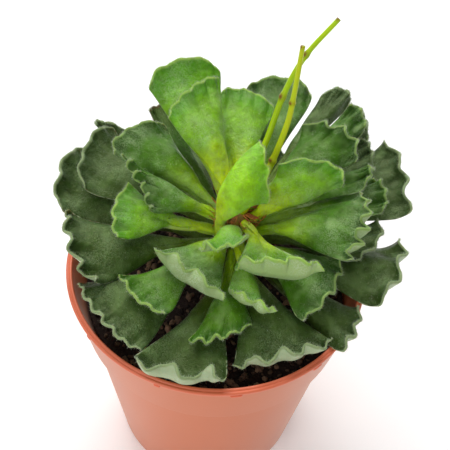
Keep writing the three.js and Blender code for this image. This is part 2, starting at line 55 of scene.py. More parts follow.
POT_OUTLINE = [
    (BASE_RADIUS - 0.6, 0), (BASE_RADIUS, 0.6), (BODY_TOP_RADIUS, COLLAR_FOOT - 0.2),
    (COLLAR_FOOT_RADIUS, COLLAR_FOOT + 0.2), (RIM_RADIUS - 0.5, 49.05),
    (RIM_RADIUS - 0.1, 49.2), (RIM_RADIUS - 0.08, 49.65), (RIM_RADIUS - 0.35, 49.85),
    (RIM_RADIUS - 0.6, 49.72), (RIM_RADIUS - 0.72, 49.95), (RIM_INSIDE + 0.15, RIM_HEIGHT),
    (RIM_INSIDE, 49.5),
    (COLLAR_FOOT_RADIUS - WALL, COLLAR_FOOT + 1.4), (BODY_TOP_RADIUS - WALL, COLLAR_FOOT + 0.6),
    (BASE_RADIUS - WALL + 0.2, FLOOR + 0.6), (BASE_RADIUS - WALL - 0.6, FLOOR),
]


def rounded(corners, cut=0.22, steps=4):
    """Line through the corners, each inner one cut back and bridged by the curve
    (1-t)^2 A + 2t(1-t) P + t^2 B, with A and B the cut points on either side of P."""
    p = np.asarray(corners, float)
    before = p[:-2] - p[1:-1]
    after = p[2:] - p[1:-1]
    reach_before = np.minimum(cut, 0.45 * np.linalg.norm(before, axis=1))[:, None]
    reach_after = np.minimum(cut, 0.45 * np.linalg.norm(after, axis=1))[:, None]
    a = p[1:-1] + before / np.linalg.norm(before, axis=1)[:, None] * reach_before
    b = p[1:-1] + after / np.linalg.norm(after, axis=1)[:, None] * reach_after
    t = np.linspace(0, 1, steps)[None, :, None]
    bend = (1 - t) ** 2 * a[:, None] + 2 * t * (1 - t) * p[1:-1, None] + t ** 2 * b[:, None]
    return np.concatenate([p[:1], bend.reshape(-1, 2), p[-1:]])


def turned(profile, around=AROUND):
    """Profile of (r, z) pairs carried round the z axis: (r cos a, r sin a, z)."""
    angle = np.linspace(0, 2 * np.pi, around, endpoint=False)
    r, z = np.asarray(profile, float).T
    return np.stack([np.outer(r, np.cos(angle)), np.outer(r, np.sin(angle)),
                     np.outer(z, np.ones(around))], -1)


def grid_faces(rows, columns, closed=False):
    """Four-cornered faces between the neighbours of a grid of points; closed joins its last
    column to its first."""
    r = np.arange(rows - 1)[:, None]
    c = np.arange(columns if closed else columns - 1)[None, :]
    a = r * columns + c
    b = r * columns + (c + 1) % columns
    return np.stack([a, b, b + columns, a + columns], -1).reshape(-1, 4)


def piece(name, patches, surface, replaces=(), notes=None, weld=0.0):
    """Object made of patches, each an array of points in millimetres and an array of faces.
    notes are values kept for each point; weld joins points closer than that many mm."""
    points = np.concatenate([p.reshape(-1, 3) for p, _ in patches])
    shifts = np.cumsum([0] + [p.size // 3 for p, _ in patches[:-1]])
    faces = [f + s for (_, f), s in zip(patches, shifts)]
    sizes = np.concatenate([np.full(len(f), f.shape[1]) for f in faces])
    mesh = bpy.data.meshes.new(name)
    mesh.vertices.add(len(points))
    mesh.vertices.foreach_set("co", (points * MM).astype(np.float32).ravel())
    mesh.loops.add(int(sizes.sum()))
    mesh.loops.foreach_set("vertex_index", np.concatenate([f.ravel() for f in faces]).astype(np.int32))
    mesh.polygons.add(len(sizes))
    mesh.polygons.foreach_set("loop_start", (np.cumsum(sizes) - sizes).astype(np.int32))
    mesh.update(calc_edges=True)
    for label, values in (notes or {}).items():
        kept = mesh.attributes.new(label, "FLOAT", "POINT")
        kept.data.foreach_set("value", np.asarray(values, np.float32).ravel())
    if weld:
        work = bmesh.new()
        work.from_mesh(mesh)
        bmesh.ops.remove_doubles(work, verts=work.verts, dist=weld * MM)
        bmesh.ops.recalc_face_normals(work, faces=work.faces)
        work.to_mesh(mesh)
        work.free()
    mesh.validate()
    mesh.polygons.foreach_set("use_smooth", np.ones(len(mesh.polygons), bool))
    made = bpy.data.objects.new(name, mesh)
    bpy.context.scene.collection.objects.link(made)
    made.data.materials.append(surface)
    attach(made, "root")
    if replaces:
        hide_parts(*replaces)
    return made


def colour(code):
    """Linear colour of an sRGB hex value: c / 12.92 up to 0.04045, and above that
    ((c + 0.055) / 1.055) ** 2.4."""
    c = np.array([int(code[i:i + 2], 16) for i in (1, 3, 5)]) / 255
    return (*np.where(c <= 0.04045, c / 12.92, ((c + 0.055) / 1.055) ** 2.4), 1.0)


def surface_of(name):
    """New material with its node tree and its shader."""
    made = bpy.data.materials.new(name)
    made.use_nodes = True
    return made, made.node_tree, made.node_tree.nodes["Principled BSDF"]


def add(tree, kind, inputs=None, **settings):
    """Adds a node with its settings; inputs gives each socket a value or another's output."""
    made = tree.nodes.new(kind)
    for label, value in settings.items():
        setattr(made, label, value)
    for socket, value in (inputs or {}).items():
        if isinstance(value, bpy.types.NodeSocket):
            tree.links.new(value, made.inputs[socket])
        else:
            made.inputs[socket].default_value = value
    return made


# Moulded polypropylene: dull satin skin with a faint grain and slow cloudy streaks from the
# mould. It is more orange and painted lighter towards the lip, painted light that lifts the
# shade under the lip's overhang. Its grain of about 0.3 mm is as fine as shows.
def moulded_plastic(name, body, lip, rough):
    made, tree, shader = surface_of(name)
    where = add(tree, "ShaderNodeTexCoord").outputs["Object"]
    streak = add(tree, "ShaderNodeMapping", {"Vector": where, "Scale": (1, 1, 0.35)})
    cloud = add(tree, "ShaderNodeTexNoise", {"Vector": streak.outputs[0], "Scale": 160.0,
                                             "Detail": 4.0})
    height = add(tree, "ShaderNodeSeparateXYZ", {"Vector": where}).outputs["Z"]
    # Painted light: from 47.8 mm up the colour turns to the lighter lip colour, lifting the shade
    # under the lip's overhang.
    lip_band_painted_light = add(tree, "ShaderNodeMapRange", {"Value": height, "From Min": 0.0478,
                                                "From Max": 0.0487})
    base = add(tree, "ShaderNodeMix", {"Factor": lip_band_painted_light.outputs[0], 6: colour(body),
                                       7: colour(lip)}, data_type="RGBA")
    lighter = add(tree, "ShaderNodeHueSaturation", {"Color": base.outputs[2], "Value": 1.12,
                                                    "Saturation": 0.92})
    mixed = add(tree, "ShaderNodeMix", {"Factor": cloud.outputs["Fac"], 6: base.outputs[2],
                                        7: lighter.outputs[0]}, data_type="RGBA")
    tree.links.new(mixed.outputs[2], shader.inputs["Base Color"])
    grain = add(tree, "ShaderNodeTexNoise", {"Vector": where, "Scale": 3300.0, "Detail": 2.0})
    dulled = add(tree, "ShaderNodeMapRange", {"Value": cloud.outputs["Fac"],
                                              "To Min": rough - 0.06, "To Max": rough + 0.08})
    tree.links.new(dulled.outputs[0], shader.inputs["Roughness"])
    bump = add(tree, "ShaderNodeBump", {"Height": grain.outputs["Fac"], "Strength": 0.12,
                                        "Distance": 0.00005})
    tree.links.new(bump.outputs[0], shader.inputs["Normal"])
    shader.inputs["IOR"].default_value = 1.49
    shader.inputs["Sheen Weight"].default_value = 0.35
    shader.inputs["Sheen Roughness"].default_value = 0.25
    shader.inputs["Sheen Tint"].default_value = (1.0, 0.86, 0.76, 1.0)
    return made


def floor_face(radius, height, spoke_steps=12, rings=5):
    """Flat floor in four quarters, each a ring between its drain hole and the quarter's
    outline: (1 - t) hole(s) + t outline(s)."""
    arc = np.linspace(0, np.pi / 2, AROUND // 4 + 1)
    spoke = np.linspace(0, radius, spoke_steps + 1)[:-1]
    outline = np.concatenate([
        np.stack([spoke, 0 * spoke], -1),
        radius * np.stack([np.cos(arc), np.sin(arc)], -1),
        np.stack([0 * spoke, spoke], -1)[:0:-1],
    ])
    middle = DRAIN_CIRCLE * np.array([np.cos(np.pi / 4), np.sin(np.pi / 4)])
    away = outline - middle
    hole = middle + DRAIN_RADIUS * away / np.linalg.norm(away, axis=1)[:, None]
    t = np.linspace(0, 1, rings)[:, None, None]
    flat = (1 - t) * hole + t * outline
    quarters = []
    for i in range(4):
        c, s = np.cos(i * np.pi / 2), np.sin(i * np.pi / 2)
        turn = np.stack([c * flat[..., 0] - s * flat[..., 1],
                         s * flat[..., 0] + c * flat[..., 1]], -1)
        quarters.append(np.concatenate([turn, np.full(turn.shape[:2] + (1,), height)], -1))
    return quarters


outline = rounded(POT_OUTLINE)
wall = turned(outline)
patches = [(wall, grid_faces(len(outline), AROUND, True))]
under = floor_face(BASE_RADIUS - 0.6, 0)
inner = floor_face(BASE_RADIUS - WALL - 0.6, FLOOR)
ring = under[0].shape
for low, high in zip(under, inner):
    patches.append((low, grid_faces(ring[0], ring[1], True)))
    patches.append((high, grid_faces(ring[0], ring[1], True)))
    patches.append((np.stack([low[0], high[0]]), grid_faces(2, ring[1], True)))
pot_plastic = moulded_plastic("moulded_polypropylene_terracotta", "#d06830", "#e0683a", 0.4)
piece("pot_shell", patches, pot_plastic, ["pot"], weld=0.002)

# Moulding nubs: small flat scraps of flash left under the lip where the mould parts, of the
# same plastic but brighter, because they are thin. No two are of one width.
NUB_DEGREES = (-169, -140, -108, -80, -48, -19, 22, 61, 96, 135, 163)
NUB_CENTRE = (26.95, 0, 48.9)
NUB_DEPTH = 1.0
NUB_WIDTH = 1.6
NUB_HEIGHT = 0.6
NUB_ROWS, NUB_COLUMNS = 9, 16
flash_plastic = moulded_plastic("thin_polypropylene_flash", "#e2602a", "#e2602a", 0.5)


def rounded_block(size, centre, degrees, power=0.35):
    """Block with rounded edges, a superellipsoid: each of x, y and z is its half size times
    sign(w) |w|^power of the sphere's coordinate w, then swung round the z axis."""
    lat = np.linspace(-np.pi / 2, np.pi / 2, NUB_ROWS)[:, None]
    lon = np.linspace(0, 2 * np.pi, NUB_COLUMNS, endpoint=False)[None, :]
    sphere = np.stack([np.cos(lat) * np.cos(lon), np.cos(lat) * np.sin(lon),
                       np.sin(lat) + 0 * lon], -1)
    p = np.sign(sphere) * np.abs(sphere) ** power * np.array(size) / 2 + np.array(centre)
    c, s = np.cos(np.radians(degrees)), np.sin(np.radians(degrees))
    return np.stack([c * p[..., 0] - s * p[..., 1], s * p[..., 0] + c * p[..., 1], p[..., 2]], -1)


nubs = []
for degrees in NUB_DEGREES:
    size = (NUB_DEPTH, NUB_WIDTH + 0.5 * np.sin(degrees), NUB_HEIGHT)
    block = rounded_block(size, NUB_CENTRE, degrees)
    nubs.append((block, grid_faces(NUB_ROWS, NUB_COLUMNS, True)))
piece("pot_lip_nubs", nubs, flash_plastic, weld=0.002)

# Soil: damp potting mix of peat and bark fines, loose on top, filled to a few millimetres
# under the lip, with a plain hole round the foot of the stem.
SOIL_TOP = 43.2
SOIL_TOP_RADIUS = 24.2
SOIL_RINGS = 70
SOIL_AROUND = 160
SOIL_DRIFT = 20
STEM_AXIS = np.array([3.0, 2.0])
STEM_FOOT = 38
STEM_FOOT_RADIUS = 3.2
GAP = 0.3


def soil_rise(x, y):
    """Height of the loose top above its edge: a low mound, 1.4 (1 - r / 24), and a sum of
    crossed sine waves from 9 down to 1.3 mm long."""
    rise = 1.4 * (1 - np.hypot(x, y) / 24)
    for length, size, a in ((9, 0.3, 0.4), (5.3, 0.22, 1.7), (3.1, 0.16, 2.9), (1.9, 0.1, 0.9),
                            (1.3, 0.07, 2.2)):
        k = 2 * np.pi / length
        rise = rise + size * np.sin(k * (x * np.cos(a) + y * np.sin(a)) + a) \
            * np.cos(k * (y * np.cos(a) - x * np.sin(a)) + 2 * a)
    return rise


inside = BASE_RADIUS - WALL - GAP
taper = (BODY_TOP_RADIUS - BASE_RADIUS) / COLLAR_FOOT
collar_inside = COLLAR_FOOT_RADIUS - WALL - GAP
hole = STEM_FOOT_RADIUS - 0.1
below = [(0, FLOOR + GAP), (inside - 0.5, FLOOR + GAP), (inside + 0.3, 3),
         (inside + 36 * taper - 0.1, 36), (inside + 36 * taper - 0.1, COLLAR_FOOT + 1.4),
         (collar_inside + 0.1, COLLAR_FOOT + 2.4), (collar_inside + 0.7, SOIL_TOP - 0.8)]
top_radii = np.linspace(SOIL_TOP_RADIUS, hole, SOIL_RINGS)
above = [(r, SOIL_TOP) for r in top_radii] + [(hole, STEM_FOOT), (0, STEM_FOOT)]
bed = turned(below + above, SOIL_AROUND)
loose = slice(len(below), len(below) + SOIL_RINGS)
bed[loose, :, 2] += soil_rise(bed[loose, :, 0], bed[loose, :, 1])

# The rings of the top are centred on the stem at its hole, and drift back to the pot's axis.
radius = np.linalg.norm(bed[len(below):, :, :2], axis=-1)
drift = np.clip(1 - np.clip(radius - hole, 0, None) / SOIL_DRIFT, 0, 1)[..., None]
bed[len(below):, :, :2] += STEM_AXIS * drift


# Damp peat: almost black brown, mottled over 1 to 3 mm and crumbly at 0.5 mm, with no gloss.
def crumbly_soil(name, dark, light, tone):
    made, tree, shader = surface_of(name)
    where = add(tree, "ShaderNodeTexCoord").outputs["Object"]
    mottle = add(tree, "ShaderNodeTexNoise", {"Vector": where, "Scale": 420.0, "Detail": 6.0,
                                              "Roughness": 0.7})
    share = mottle.outputs["Fac"]
    if tone:
        grain = add(tree, "ShaderNodeAttribute", attribute_name=tone).outputs["Fac"]
        share = add(tree, "ShaderNodeMath", {0: share, 1: 0.35}, operation="MULTIPLY").outputs[0]
        share = add(tree, "ShaderNodeMath", {0: share, 1: grain}, operation="ADD",
                    use_clamp=True).outputs[0]
    mixed = add(tree, "ShaderNodeMix", {"Factor": share, 6: colour(dark), 7: colour(light)},
                data_type="RGBA")
    tree.links.new(mixed.outputs[2], shader.inputs["Base Color"])
    crumb = add(tree, "ShaderNodeTexVoronoi", {"Vector": where, "Scale": 1800.0})
    bump = add(tree, "ShaderNodeBump", {"Height": crumb.outputs["Distance"], "Strength": 0.7,
                                        "Distance": 0.0003})
    tree.links.new(bump.outputs[0], shader.inputs["Normal"])
    shader.inputs["Roughness"].default_value = 0.92
    return made


peat = crumbly_soil("damp_peat_mix", "#120a07", "#38231a", None)
piece("soil_bed", [(bed, grid_faces(len(bed), SOIL_AROUND, True))], peat,
      ["soil"], weld=0.002)

# Crumbs: peat crumbs, bark chips and pale pumice grit lying loose on the soil, each sunk by
# about two fifths of its height.
CRUMBS = 1500
CRUMB_REACH = 23.6
PEAT_SHARE = 0.72
BARK_SHARE = 0.18
CRUMB_ROWS, CRUMB_COLUMNS = 5, 7


def lumps(centres, sizes, random):
    """Rough pebbles: a sphere's grid scaled by three half sizes, its radius made uneven by
    1 + 0.22 sin(3 lon + a) cos(2 lat + b), and swung round the z axis; one for each centre."""
    lat = np.linspace(-np.pi / 2, np.pi / 2, CRUMB_ROWS)[None, :, None]
    lon = np.linspace(0, 2 * np.pi, CRUMB_COLUMNS, endpoint=False)[None, None, :]
    a, b, swing = random.uniform(0, 2 * np.pi, (3, len(centres), 1, 1))
    uneven = 1 + 0.22 * np.sin(3 * lon + a) * np.cos(2 * lat + b) + 0.12 * np.sin(lon + 2 * b)
    x = uneven * np.cos(lat) * np.cos(lon) * sizes[:, 0, None, None]
    y = uneven * np.cos(lat) * np.sin(lon) * sizes[:, 1, None, None]
    z = uneven * np.sin(lat) * sizes[:, 2, None, None]
    turn = np.stack([x * np.cos(swing) - y * np.sin(swing),
                     x * np.sin(swing) + y * np.cos(swing), z], -1)
    return turn + centres[:, None, None, :]


def lump_faces(count):
    """Faces of that many pebbles one after the other."""
    one = grid_faces(CRUMB_ROWS, CRUMB_COLUMNS, True)
    step = CRUMB_ROWS * CRUMB_COLUMNS
    return (one[None] + step * np.arange(count)[:, None, None]).reshape(-1, 4)


random = np.random.default_rng(12)
reach = CRUMB_REACH * np.sqrt(random.uniform(0.03, 1, CRUMBS))
angle = random.uniform(0, 2 * np.pi, CRUMBS)
x, y = reach * np.cos(angle), reach * np.sin(angle)
kind = random.uniform(0, 1, CRUMBS)
size = np.where(kind < PEAT_SHARE, random.uniform(0.22, 0.55, CRUMBS),
                random.uniform(0.35, 0.85, CRUMBS))
half = np.stack([size * random.uniform(0.8, 1.5, CRUMBS), size * random.uniform(0.6, 1, CRUMBS),
                 size * random.uniform(0.5, 0.9, CRUMBS)], -1)
tone = np.where(kind < PEAT_SHARE, random.uniform(-0.2, 0.25, CRUMBS),
                np.where(kind < PEAT_SHARE + BARK_SHARE, random.uniform(0.2, 0.5, CRUMBS),
                         random.uniform(0.55, 1, CRUMBS)))
ground = SOIL_TOP + soil_rise(x, y) + 0.15 * half[:, 2]
grit = crumbly_soil("peat_bark_and_pumice_grit", "#170d09", "#a58468", "tone")
centres = np.stack([x, y, ground], -1)
crumbs = lumps(centres, half, random)
piece("soil_crumbs", [(crumbs, lump_faces(CRUMBS))], grit,
      notes={"tone": np.repeat(tone, CRUMB_ROWS * CRUMB_COLUMNS)}, weld=0.0004)

# Stem: a short trunk, corky and brown, ringed with the scars of fallen leaves, that stands in
# the soil and carries every leaf and flower stalk.
STEM_AROUND = 48
STEM_PROFILE = [(0, 38), (2.6, 38), (3.1, 39.5), (3, 43), (2.7, 46.5), (2.45, 50), (2.5, 54),
                (2.45, 57), (2.2, 60), (2.1, 61.2), (1.7, 62), (0.9, 62.6), (0, 62.8)]


# Young bark: tan to dark brown, streaked along the stem and pitted at half a millimetre.
def young_bark(name, dark, light):
    made, tree, shader = surface_of(name)
    where = add(tree, "ShaderNodeTexCoord").outputs["Object"]
    streak = add(tree, "ShaderNodeMapping", {"Vector": where, "Scale": (1, 1, 0.4)})
    mottle = add(tree, "ShaderNodeTexNoise", {"Vector": streak.outputs[0], "Scale": 900.0,
                                              "Detail": 5.0, "Roughness": 0.7})
    sharper = add(tree, "ShaderNodeMapRange", {"Value": mottle.outputs["Fac"], "From Min": 0.35,
                                               "From Max": 0.65})
    mixed = add(tree, "ShaderNodeMix", {"Factor": sharper.outputs[0], 6: colour(dark),
                                        7: colour(light)}, data_type="RGBA")
    tree.links.new(mixed.outputs[2], shader.inputs["Base Color"])
    bump = add(tree, "ShaderNodeBump", {"Height": mottle.outputs["Fac"], "Strength": 0.6,
                                        "Distance": 0.0002})
    tree.links.new(bump.outputs[0], shader.inputs["Normal"])
    shader.inputs["Roughness"].default_value = 0.7
    return made


trunk = turned(rounded(STEM_PROFILE, 0.6, 5), STEM_AROUND)
angle = np.arctan2(trunk[..., 1], trunk[..., 0])
height = trunk[..., 2]
knobs = 1 + 0.05 * np.sin(3 * angle + 1.1 * height) \
    + 0.04 * np.sin(2.6 * height) * (height > SOIL_TOP + GAP)
trunk[..., :2] *= knobs[..., None]
trunk[..., :2] += STEM_AXIS
bark = young_bark("corky_young_bark", "#5a3a1c", "#a8863c")
piece("stem_trunk", [(trunk, grid_faces(len(trunk), STEM_AROUND, True))], bark,
      ["stem"], weld=0.002)

# Aerial roots: fine orange-brown rootlets that grow out of the stem among the leaf bases and,
# thicker, down towards the soil.
ROOT_STEPS, ROOT_SIDES = 12, 6


def smooth_line(through, steps):
    """Even points on the curve through the given ones: between P1 and P2 it is half of
    2 P1 + (P2 - P0) t + (2 P0 - 5 P1 + 4 P2 - P3) t^2 + (3 P1 - P0 - 3 P2 + P3) t^3."""
    p = np.asarray(through, float)
    p = np.concatenate([[2 * p[0] - p[1]], p, [2 * p[-1] - p[-2]]])
    at = np.linspace(0, len(p) - 3, steps)
    i = np.minimum(at.astype(int), len(p) - 4)
    t = (at - i)[:, None]
    p0, p1, p2, p3 = p[i], p[i + 1], p[i + 2], p[i + 3]
    return 0.5 * (2 * p1 + (p2 - p0) * t + (2 * p0 - 5 * p1 + 4 * p2 - p3) * t ** 2
                  + (3 * p1 - p0 - 3 * p2 + p3) * t ** 3)


def tube(line, radius, sides, upright=(1.0, 0.15, 0.0)):
    """Circle of the given radius carried along a line: P + r (side cos a + other sin a), with
    side and other square to the line; its ends close to a point."""
    ahead = np.gradient(line, axis=0)
    ahead /= np.linalg.norm(ahead, axis=1)[:, None]
    side = np.cross(ahead, np.asarray(upright, float))
    side /= np.linalg.norm(side, axis=1)[:, None]
    other = np.cross(ahead, side)
    a = np.linspace(0, 2 * np.pi, sides, endpoint=False)[None, :, None]
    r = np.asarray(radius, float)[:, None, None] * np.ones((1, sides, 1))
    body = line[:, None] + r * (side[:, None] * np.cos(a) + other[:, None] * np.sin(a))
    cap = [line[0] + 0 * body[:1], body, line[-1] + 0 * body[:1]]
    return np.concatenate(cap)


def rootlets(count, heights, lengths, thick, fall, random):
    """Tubes that leave the stem at random angles and heights. Their tips lie at
    start + out (0.7 + 0.85 long) + 0.7 aside long + down fall long, and thick is the range of
    their radius, which falls to about a third at the tip."""
    made = []
    for i in range(count):
        angle = 2 * np.pi * (i + random.uniform(-0.3, 0.3)) / count
        height = random.uniform(*heights)
        long = random.uniform(*lengths)
        out = np.array([np.cos(angle), np.sin(angle), 0])
        aside = np.array([-out[1], out[0], 0]) * random.uniform(-0.5, 0.5)
        start = np.array([*STEM_AXIS, height]) + 1.7 * out
        drop = np.array([0, 0, -fall * long])
        line = smooth_line([start, start + out * (0.7 + 0.35 * long) + 0.3 * aside * long,
                            start + out * (0.7 + 0.7 * long) + aside * long + 0.4 * drop,
                            start + out * (0.7 + 0.85 * long) + 0.7 * aside * long + drop],
                           ROOT_STEPS)
        radius = random.uniform(*thick) * np.linspace(1, 0.35, ROOT_STEPS)
        body = tube(line, radius, ROOT_SIDES, (0.1, 0.2, 1.0))
        made.append((body, grid_faces(len(body), ROOT_SIDES, True)))
    return made


root_skin = young_bark("orange_brown_root", "#7a3410", "#cc7c2c")
random = np.random.default_rng(4)
rising = rootlets(64, heights=(60.2, 62.6), lengths=(1.2, 3.2), thick=(0.07, 0.15), fall=-0.5,
                  random=random)
hanging = rootlets(30, heights=(57, 60), lengths=(1, 2.6), thick=(0.08, 0.18), fall=0.5,
                   random=random)
piece("aerial_roots_top", rising + hanging, root_skin, weld=0.0005)
props = rootlets(9, heights=(46.5, 48.5), lengths=(3, 4.4), thick=(0.3, 0.42), fall=0.8,
                 random=random)
piece("aerial_roots_low", props, root_skin, weld=0.0005)

# Flower stalks: bare and smooth, about a millimetre thick, yellow-green, with a small brown
# scar at each place where a flower has dropped. They grow from the top of the stem.
STALK_STEPS, STALK_SIDES = 220, 20
STALK_FOOT_RADIUS = 0.74
STALK_THINNING = 0.34
SCAR_LENGTH = 0.012
STALKS = {
    "flower_stalk_long": dict(
        path=[(2.9, 1.6, 61.8), (3.4, 3, 62.8), (4.4, 6.5, 65), (7.2, 12.6, 69),
              (9.5, 16.6, 76.5), (12.4, 18.6, 83.5), (17.2, 20.6, 90)],
        scars=(0.42, 0.66, 0.84), skin=("#9ccc00", "#c0dc10")),
    "flower_stalk_short": dict(
        path=[(3.4, 1.6, 62), (4.2, 2, 62.8), (6.2, 4.2, 65.4), (8.4, 7.9, 69),
              (10.2, 10.2, 75.5), (10.8, 11.8, 80.5), (11.3, 14, 89)],
        scars=(0.5, 0.8), skin=("#b0d000", "#d4d818")),
}


# Stalk skin: smooth and satin with a waxy gloss, a little translucent, brown at the scars.
def stalk_skin(name, deep, pale):
    made, tree, shader = surface_of(name)
    where = add(tree, "ShaderNodeTexCoord").outputs["Object"]
    streak = add(tree, "ShaderNodeMapping", {"Vector": where, "Scale": (1, 1, 0.15)})
    mottle = add(tree, "ShaderNodeTexNoise", {"Vector": streak.outputs[0], "Scale": 1500.0})
    mixed = add(tree, "ShaderNodeMix", {"Factor": mottle.outputs["Fac"], 6: colour(deep),
                                        7: colour(pale)}, data_type="RGBA")
    scar = add(tree, "ShaderNodeAttribute", attribute_name="scar").outputs["Fac"]
    browned = add(tree, "ShaderNodeMix", {"Factor": scar, 6: mixed.outputs[2],
                                          7: colour("#7a4a1c")}, data_type="RGBA")
    tree.links.new(browned.outputs[2], shader.inputs["Base Color"])
    bump = add(tree, "ShaderNodeBump", {"Height": mottle.outputs["Fac"], "Strength": 0.15,
                                        "Distance": 0.0001})
    tree.links.new(bump.outputs[0], shader.inputs["Normal"])
    shader.inputs["Roughness"].default_value = 0.38
    shader.inputs["Specular Tint"].default_value = (1.0, 1.0, 0.5, 1.0)
    shader.inputs["Subsurface Weight"].default_value = 0.15
    shader.inputs["Subsurface Scale"].default_value = 0.0008
    return made


for name, stalk in STALKS.items():
    line = smooth_line(stalk["path"], STALK_STEPS)
    t = np.linspace(0, 1, STALK_STEPS)
    radius = STALK_FOOT_RADIUS - STALK_THINNING * t
    brown = 0 * t
    for scar in stalk["scars"]:
        near = np.exp(-((t - scar) / SCAR_LENGTH) ** 2)
        radius = radius * (1 + 0.35 * near)
        brown = np.maximum(brown, near)
    brown = np.maximum(brown, np.clip((t - 0.985) / 0.015, 0, 1))
    body = tube(line, radius, STALK_SIDES)
    around = np.linspace(0, 2 * np.pi, STALK_SIDES, endpoint=False)[None, :]
    share = np.concatenate([brown[:1], brown, brown[-1:]])[:, None] \
        * (0.35 + 0.65 * (np.cos(around - 1.2) > 0.2))
    piece(name.replace("flower_stalk_", "bare_flower_stalk_"),
          [(body, grid_faces(len(body), STALK_SIDES, True))],
          stalk_skin("smooth_" + name + "_skin", *stalk["skin"]), [name],
          notes={"scar": share}, weld=0.0005)

# Leaves: fleshy wedges on short round petioles, each grown from the stem and carried by it
# alone. A blade is up to 2.4 mm thick and thins to a pale, waved lip.

